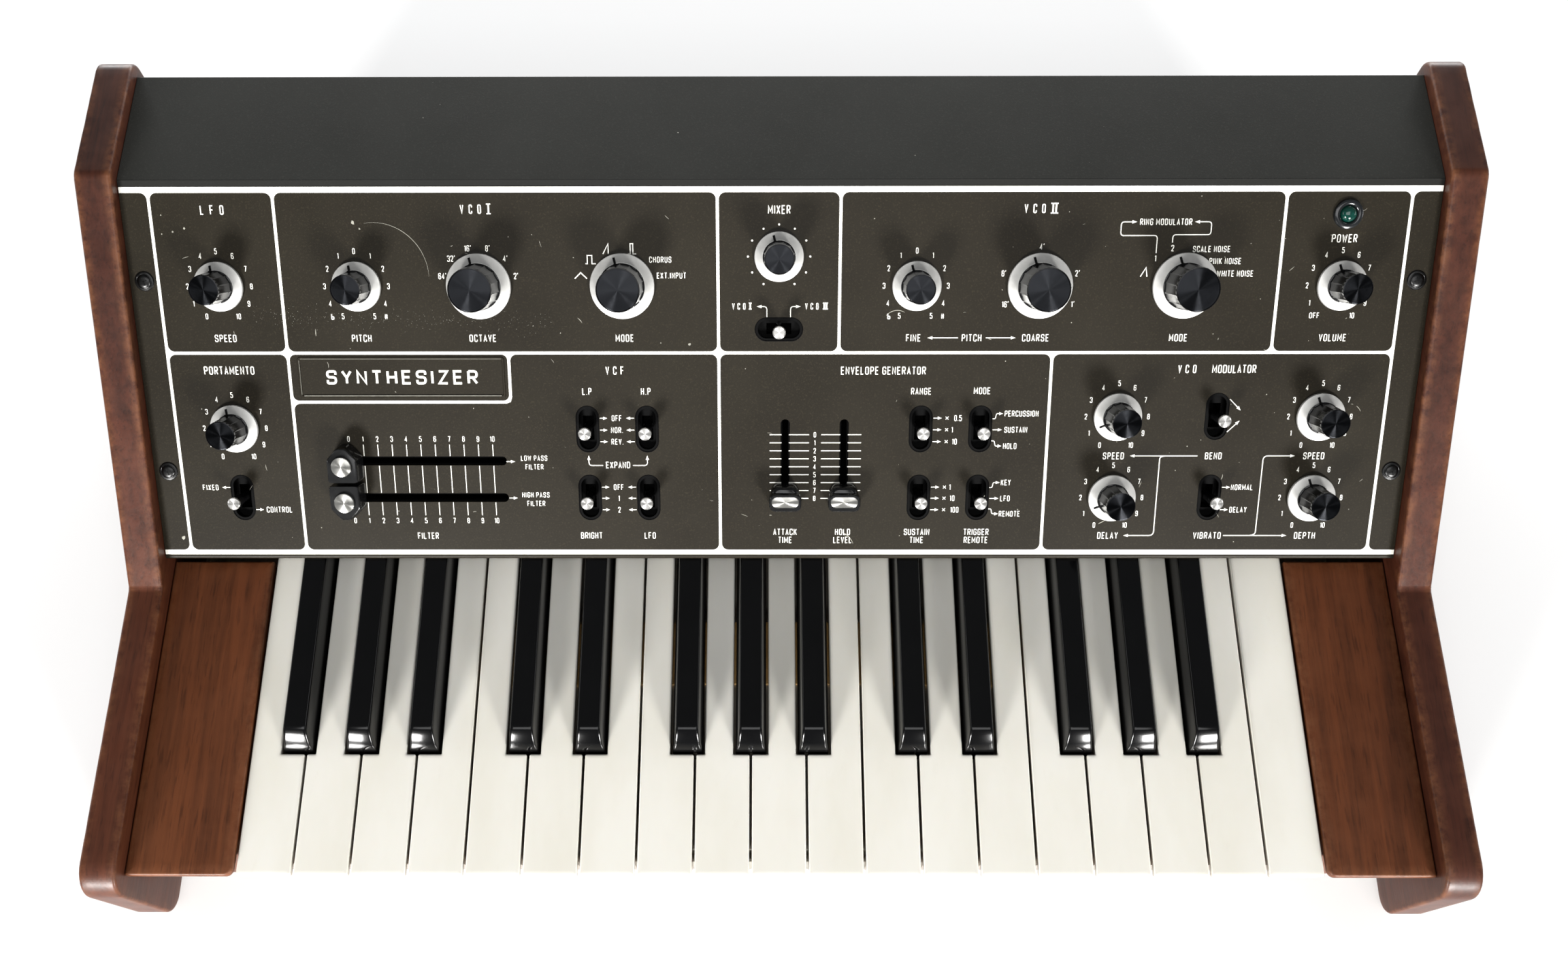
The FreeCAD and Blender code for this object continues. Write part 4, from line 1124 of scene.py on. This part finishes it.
for i in range(11):
    a = math.radians(-150 + 30 * i)
    u, v = x + 12.75 * math.sin(a), y + 12.75 * math.cos(a)
    fill([(u + 0.42 * math.cos(b * math.pi / 8), v + 0.42 * math.sin(b * math.pi / 8)) for b in range(16)])

# Wave shapes by the mode switches.
WAVES = {
    "osc1_mode": (
        [(-19.5, 3.0), (-17.0, 5.4), (-14.5, 3.0)],
        [(-14.9, 9.0), (-14.1, 9.0), (-14.1, 12.3), (-12.2, 12.3), (-12.2, 9.0), (-10.7, 9.0)],
        [(-7.6, 12.9), (-5.4, 17.0), (-5.4, 12.9)],
        [(2.6, 12.9), (3.6, 12.9), (3.6, 17.0), (4.7, 17.0), (4.7, 12.9), (6.0, 12.9)],
    ),
    "osc2_mode": ([(-18.3, 3.6), (-16.2, 7.2), (-15.6, 3.6)],),
}
for name, waves in WAVES.items():
    x, y = places[name]
    for wave in waves:
        stroke([(x + u, y + v) for u, v in wave])
arrow([(x - 12.6, y + 13.0), (x - 12.6, y + 20.0), (x - 27.6, y + 20.0), (x - 27.6, y + 25.4), (x - 21.2, y + 25.4)],
      rounded=1.3)
arrow([(x - 6.3, y + 17.2), (x - 6.3, y + 20.3), (x + 9.0, y + 20.3), (x + 9.0, y + 25.4), (x + 2.2, y + 25.4)],
      rounded=1.3)
print_words(2.6, 0.62, 0.3, ("1", x - 12.7, y + 10.9), ("2", x - 6.0, y + 15.0))
print_words(2.5, 0.60, 0.5, ("SCALE NOISE", x + 9.9, y + 14.6), ("PINK NOISE", x + 15.9, y + 9.8),
            ("WHITE NOISE", x + 20.4, y + 4.8))
words("RING MODULATOR", x - 9.5, y + 25.4, 2.6, 0.60, 0.5)
x, y = places["osc1_mode"]
print_words(2.45, 0.60, 0.5, ("CHORUS", x + 15.8, y + 10.6), ("EXT.INPUT", x + 20.3, y + 4.2))

# Titles and names of the upper row.
words("LFO", -230.5, 145.5, 3.8, 0.52, 2.3)
print_words(3.7, 0.47, 1.9, ("VCO", -125.3, 145.7), ("VCO", 103.6, 145.7))
print_words(2.7, 0.46, 1.1, ("VCO", -16.6, 106.7), ("VCO", 13.6, 106.7))
for x, y, count, height in ((-118.0, 145.8, 1, 4.3), (111.5, 145.8, 2, 4.3), (-11.9, 106.8, 1, 2.9),
                            (19.2, 106.8, 2, 2.9)):
    roman(x, y, count, height)
words("MIXER", 0.0, 145.4, 3.5, 0.58, 0.6)
words("POWER", 230.0, 133.8, 3.3, 0.60, 0.65)
for label, x in (("SPEED", -230.6), ("PITCH", -173.8), ("OCTAVE", -123.3), ("MODE", -64.2), ("FINE", 55.9),
                 ("PITCH", 80.1), ("COARSE", 106.6), ("MODE", 165.8), ("VOLUME", 229.8)):
    words(label, x, 93.7, 3.05)
pointers(2.0, (74.4, 61.8, 93.7), (86.0, 98.4, 93.7))
arrow([(-5.0, 102.3), (-5.0, 106.6), (-9.2, 106.6)], 0.40, 2.2)
arrow([(4.8, 102.3), (4.8, 106.6), (9.0, 106.6)], 0.40, 2.2)

# Lower row: portamento and name plate.
words("PORTAMENTO", -230.7, 80.3, 3.5, 0.58, 0.62)
words("FIXED", -244.3, 30.0, 2.45, 0.58, 0.6)
words("CONTROL", -215.6, 20.2, 2.6, 0.60, 0.5)
pointers(1.6, (-235.8, -239.3, 30.0), (-225.7, -222.3, 20.2))
words("SYNTHESIZER", -158.2, 77.4, 6.0, 0.98, 1.75, 1.35)

# Sliding filter controls.
for i in range(11):
    x = -183.1 + 6.13 * i
    print_words(2.4, 0.62, 0.35, (str(i), x, 51.1), (str(i), x, 15.3))
    if i:
        for high, low in ((48.7, 43.7), (39.5, 27.6), (23.4, 17.7)):
            stroke([(x, high), (x, low)], 0.34)
words("FILTER", -152.0, 8.5, 2.9, 0.58, 0.55)
print_words(2.35, 0.60, 0.5, ("LOW PASS", -104.4, 42.8), ("FILTER", -104.4, 39.0), ("HIGH PASS", -104.4, 26.7),
            ("FILTER", -104.4, 22.9))
pointers(1.8, (-116.3, -112.6, 41.3), (-115.9, -112.2, 25.3))

# Filter levers.
words("VCF", -68.8, 80.2, 3.5, 0.52, 1.5)
print_words(3.0, 0.55, 0.6, ("L.P", -80.8, 71.4), ("H.P", -56.0, 71.4))
for label, y in (("OFF", 60.0), ("NOR.", 54.9), ("REV.", 49.9), ("OFF", 30.1), ("1", 25.2), ("2", 20.1)):
    words(label, -68.6, y, 2.55, 0.58, 0.5)
    pointers(1.7, (-75.8, -72.6, y), (-61.2, -64.6, y))
arrow([(-75.0, 39.6), (-81.0, 39.6), (-81.0, 44.0)], rounded=1.6)
arrow([(-62.2, 39.6), (-56.0, 39.6), (-56.0, 44.0)], rounded=1.6)
print_words(2.9, 0.60, 0.5, ("EXPAND", -68.6, 39.8), ("BRIGHT", -81.0, 8.6), ("RANGE", 59.9, 71.4),
            ("MODE", 85.5, 71.6))
words("LFO", -55.6, 8.6, 2.9, 0.58, 0.6)

# Envelope.
words("ENVELOPE GENERATOR", 43.8, 80.1, 3.4, 0.585, 0.62)
for i in range(9):
    y = 52.9 - 3.47 * i
    words(str(i), 15.4, y, 2.3, 0.62, 0.35)
    for x0, x1 in ((-3.8, 1.2), (4.4, 12.9), (18.1, 26.2), (29.4, 35.1)):
        stroke([(x0, y), (x1, y)], 0.38)
for x, first, second in ((2.9, "ATTACK", "TIME"), (27.8, "HOLD", "LEVEL"), (59.9, "SUSTAIN", "TIME"),
                         (85.6, "TRIGGER", "REMOTE")):
    print_words(2.85, 0.60, 0.5, (first, x, 10.2), (second, x, 6.6))
for label, y in (("0.5", 60.0), ("1", 55.0), ("10", 49.9), ("1", 30.1), ("10", 25.2), ("100", 20.1)):
    pointers(1.7, (65.4, 69.0, y))
    stroke([(70.6, y - 0.6), (71.8, y + 0.6)], 0.3)
    stroke([(70.6, y + 0.6), (71.8, y - 0.6)], 0.3)
    words(label, 72.4 + 1.15 * len(label), y, 2.55, 0.60, 0.4)
for label, x, y, middle in (("PERCUSSION", 102.6, 61.9, 55.0), ("SUSTAIN", 100.5, 55.0, 55.0),
                            ("HOLD", 98.3, 48.0, 55.0), ("KEY", 97.4, 32.1, 25.1), ("LFO", 97.4, 25.1, 25.1),
                            ("REMOTE", 99.6, 18.3, 25.1)):
    words(label, x, y, 2.55, 0.58, 0.45)
    if y == middle:
        pointers(1.7, (90.7, 94.6, y))
    else:
        bend = middle + (y - middle) * 0.68
        arrow([(90.4, bend), (91.6, bend), (92.0, y), (94.8, y)], 0.36, 0.6, 1.7)

# Modulator.
words("VCO", 170.8, 80.7, 3.5, 0.50, 1.5)
words("MODULATOR", 190.4, 80.7, 3.5, 0.575, 0.55)
print_words(3.0, 0.60, 0.6, ("SPEED", 142.6, 43.7), ("BEND", 185.1, 43.7), ("SPEED", 227.8, 43.7),
            ("DELAY", 142.6, 8.6), ("VIBRATO", 185.6, 8.6), ("DEPTH", 227.8, 8.6))
print_words(2.55, 0.58, 0.5, ("NORMAL", 198.6, 30.0), ("DELAY", 197.9, 20.1))
arrow([(178.4, 43.7), (149.6, 43.7)], 0.40)
arrow([(164.6, 43.7), (162.4, 43.2), (162.4, 8.6), (149.4, 8.6)], 0.40, 2.0)
arrow([(192.6, 8.6), (219.9, 8.6)], 0.40)
arrow([(204.0, 8.6), (206.4, 9.2), (206.4, 43.7), (219.8, 43.7)], 0.40, 2.0)
pointers(1.7, (190.1, 193.6, 30.0), (190.1, 193.6, 20.1))
arrow([(189.9, 68.0), (194.8, 63.2)])
arrow([(189.9, 54.0), (194.8, 58.9)])
piece("panel_print", ink, "print", "case", matrix=panel_matrix, sharp=None)


# ------------------------------------------------------------------ small scratches and specks on the panel
marks = Shape()
dice = random.Random(4)
MARK_HEIGHT = 0.02


def scratch(points, width):
    """Thin flat strip that tapers to both ends."""
    start = len(marks.verts)
    for i, (px, py) in enumerate(points):
        before = Vector(points[max(0, i - 1)])
        after = Vector(points[min(len(points) - 1, i + 1)])
        half = (after - before).normalized() * width / 2
        half *= 0.25 + 0.75 * math.sin(math.pi * (i + 0.3) / (len(points) - 0.4))
        marks.verts += [(px - half.y, py + half.x, MARK_HEIGHT), (px + half.y, py - half.x, MARK_HEIGHT)]
    marks.faces += [(a, a + 1, a + 3, a + 2) for a in range(start, len(marks.verts) - 2, 2)]


for cx, cy, radius, start, sweep, width in (
        (-165.5, 119.0, 21.5, 100, -100, 0.16), (49.0, 99.0, 6.0, 60, 80, 0.25), (24.0, 1.8, 9.0, 20, 50, 0.3)):
    turns = [math.radians(start + sweep * k / 18) for k in range(19)]
    scratch([(cx + radius * math.cos(a), cy + radius * math.sin(a)) for a in turns], width)
for _ in range(46):
    x = dice.uniform(-250, 250)
    y = dice.uniform(4, 150)
    length = dice.uniform(0.5, 3.2)
    a = dice.uniform(0, math.pi)
    bend = dice.uniform(-0.4, 0.4)
    scratch([(x + length * t * math.cos(a + bend * t), y + length * t * math.sin(a + bend * t))
             for t in (0.0, 0.25, 0.5, 0.75, 1.0)], dice.uniform(0.10, 0.28))
chips = [(-173.6, 140.4, 0.95), (-171.1, 138.0, 0.5), (-252.0, 136.0, 0.35), (-247.5, 136.9, 0.4),
         (-242.5, 138.2, 0.5), (-37.2, 91.0, 0.7), (-258.6, 7.6, 1.0), (205.0, 70.0, 0.25)]
for _ in range(70):
    chips.append((dice.uniform(-262, 262), dice.uniform(3, 151), dice.uniform(0.08, 0.28)))
for _ in range(300):
    spread = dice.uniform(-1, 1)
    chips.append((-156.0 + 62.0 * spread, 101.5 + dice.gauss(0, 2.4) - 1.5 * spread, dice.uniform(0.04, 0.115)))
CHIP_CORNERS = 7
for x, y, radius in chips:
    verts = []
    for k in range(CHIP_CORNERS):
        a = 2 * math.pi * k / CHIP_CORNERS
        r = radius * dice.uniform(0.55, 1.15)
        verts.append((x + r * math.cos(a), y + r * math.sin(a), MARK_HEIGHT))
    marks.put(verts, [tuple(range(CHIP_CORNERS))])
piece("panel_scuffs", marks, "scuff", "case", matrix=panel_matrix, sharp=None)


# ------------------------------------------------------------------ floor, light and camera
floor_mesh = bpy.data.meshes.new("floor")
floor_mesh.from_pydata([(-6, -6, 0), (6, -6, 0), (6, 6, 0), (-6, 6, 0)], [], [(0, 1, 2, 3)])
floor_nodes = Nodes("floor_white", Roughness=0.9, Base_Color=(0.93, 0.93, 0.93, 1.0), Specular_IOR_Level=0.1)
floor_mesh.materials.append(floor_nodes.material)
floor = bpy.data.objects.new("floor", floor_mesh)
bpy.context.scene.collection.objects.link(floor)

world = bpy.data.worlds.new("studio")
world.use_nodes = True
world.node_tree.nodes["Background"].inputs["Color"].default_value = (0.96, 0.98, 1.0, 1.0)
world.node_tree.nodes["Background"].inputs["Strength"].default_value = 0.16
bpy.context.scene.world = world


def soft_light(name, place, target, width, height, power, colour=(1, 1, 1), spread=180.0):
    data = bpy.data.lights.new(name, "AREA")
    data.shape = "RECTANGLE"
    data.size = width
    data.size_y = height
    data.energy = power
    data.color = colour
    data.spread = math.radians(spread)
    thing = bpy.data.objects.new(name, data)
    bpy.context.scene.collection.objects.link(thing)
    thing.location = place
    thing.rotation_euler = (Vector(target) - Vector(place)).to_track_quat("-Z", "Y").to_euler()


WARM = (1.0, 0.99, 0.97)
for side, name, power in ((-1, "left", 6.6), (1, "right", 6.0)):
    soft_light("front_" + name, (0.72 * side, -1.50, 0.34), (0.20 * side, 0.0, 0.12), 0.36, 0.36, power, WARM, 66.0)
    soft_light("side_" + name, (1.9 * side, 0.1, 0.5), (0.7 * side, 0.0, 0.0), 1.2, 0.3, 4.0)
soft_light("overhead", (0.0, -0.75, 1.5), (0.0, 0.0, 0.05), 1.3, 0.8, 8.5)
soft_light("back_low", (0.0, 1.7, 0.45), (0.0, 0.50, 0.0), 2.4, 0.3, 58.0)

camera_data = bpy.data.cameras.new("camera")
camera = bpy.data.objects.new("camera", camera_data)
bpy.context.scene.collection.objects.link(camera)
WIDTH_PX, HEIGHT_PX = 2400.0, 1474.0
FOCAL_PX, CENTRE_X, CENTRE_Y = 2102.6, 1161.1, 875.5
SENSOR_MM = 36.0
camera_data.sensor_fit = "HORIZONTAL"
camera_data.sensor_width = SENSOR_MM
camera_data.lens = FOCAL_PX / WIDTH_PX * SENSOR_MM
camera_data.shift_x = (WIDTH_PX / 2 - CENTRE_X) / WIDTH_PX
camera_data.shift_y = (CENTRE_Y - HEIGHT_PX / 2) / WIDTH_PX
camera_data.clip_start = 0.01
right = Vector((0.99999, 0.00199, -0.00482))
up = Vector((-0.00014, 0.93421, 0.35674))
forward = Vector((-0.00521, 0.35673, -0.93419))
camera.matrix_world = Matrix((
    (right.x, up.x, -forward.x, -0.00545),
    (right.y, up.y, -forward.y, -0.23883),
    (right.z, up.z, -forward.z, 0.63062),
    (0.0, 0.0, 0.0, 1.0),
)).normalized()
bpy.context.scene.camera = camera
bpy.context.scene.view_settings.view_transform = "Standard"
bpy.context.scene.view_settings.look = "None"
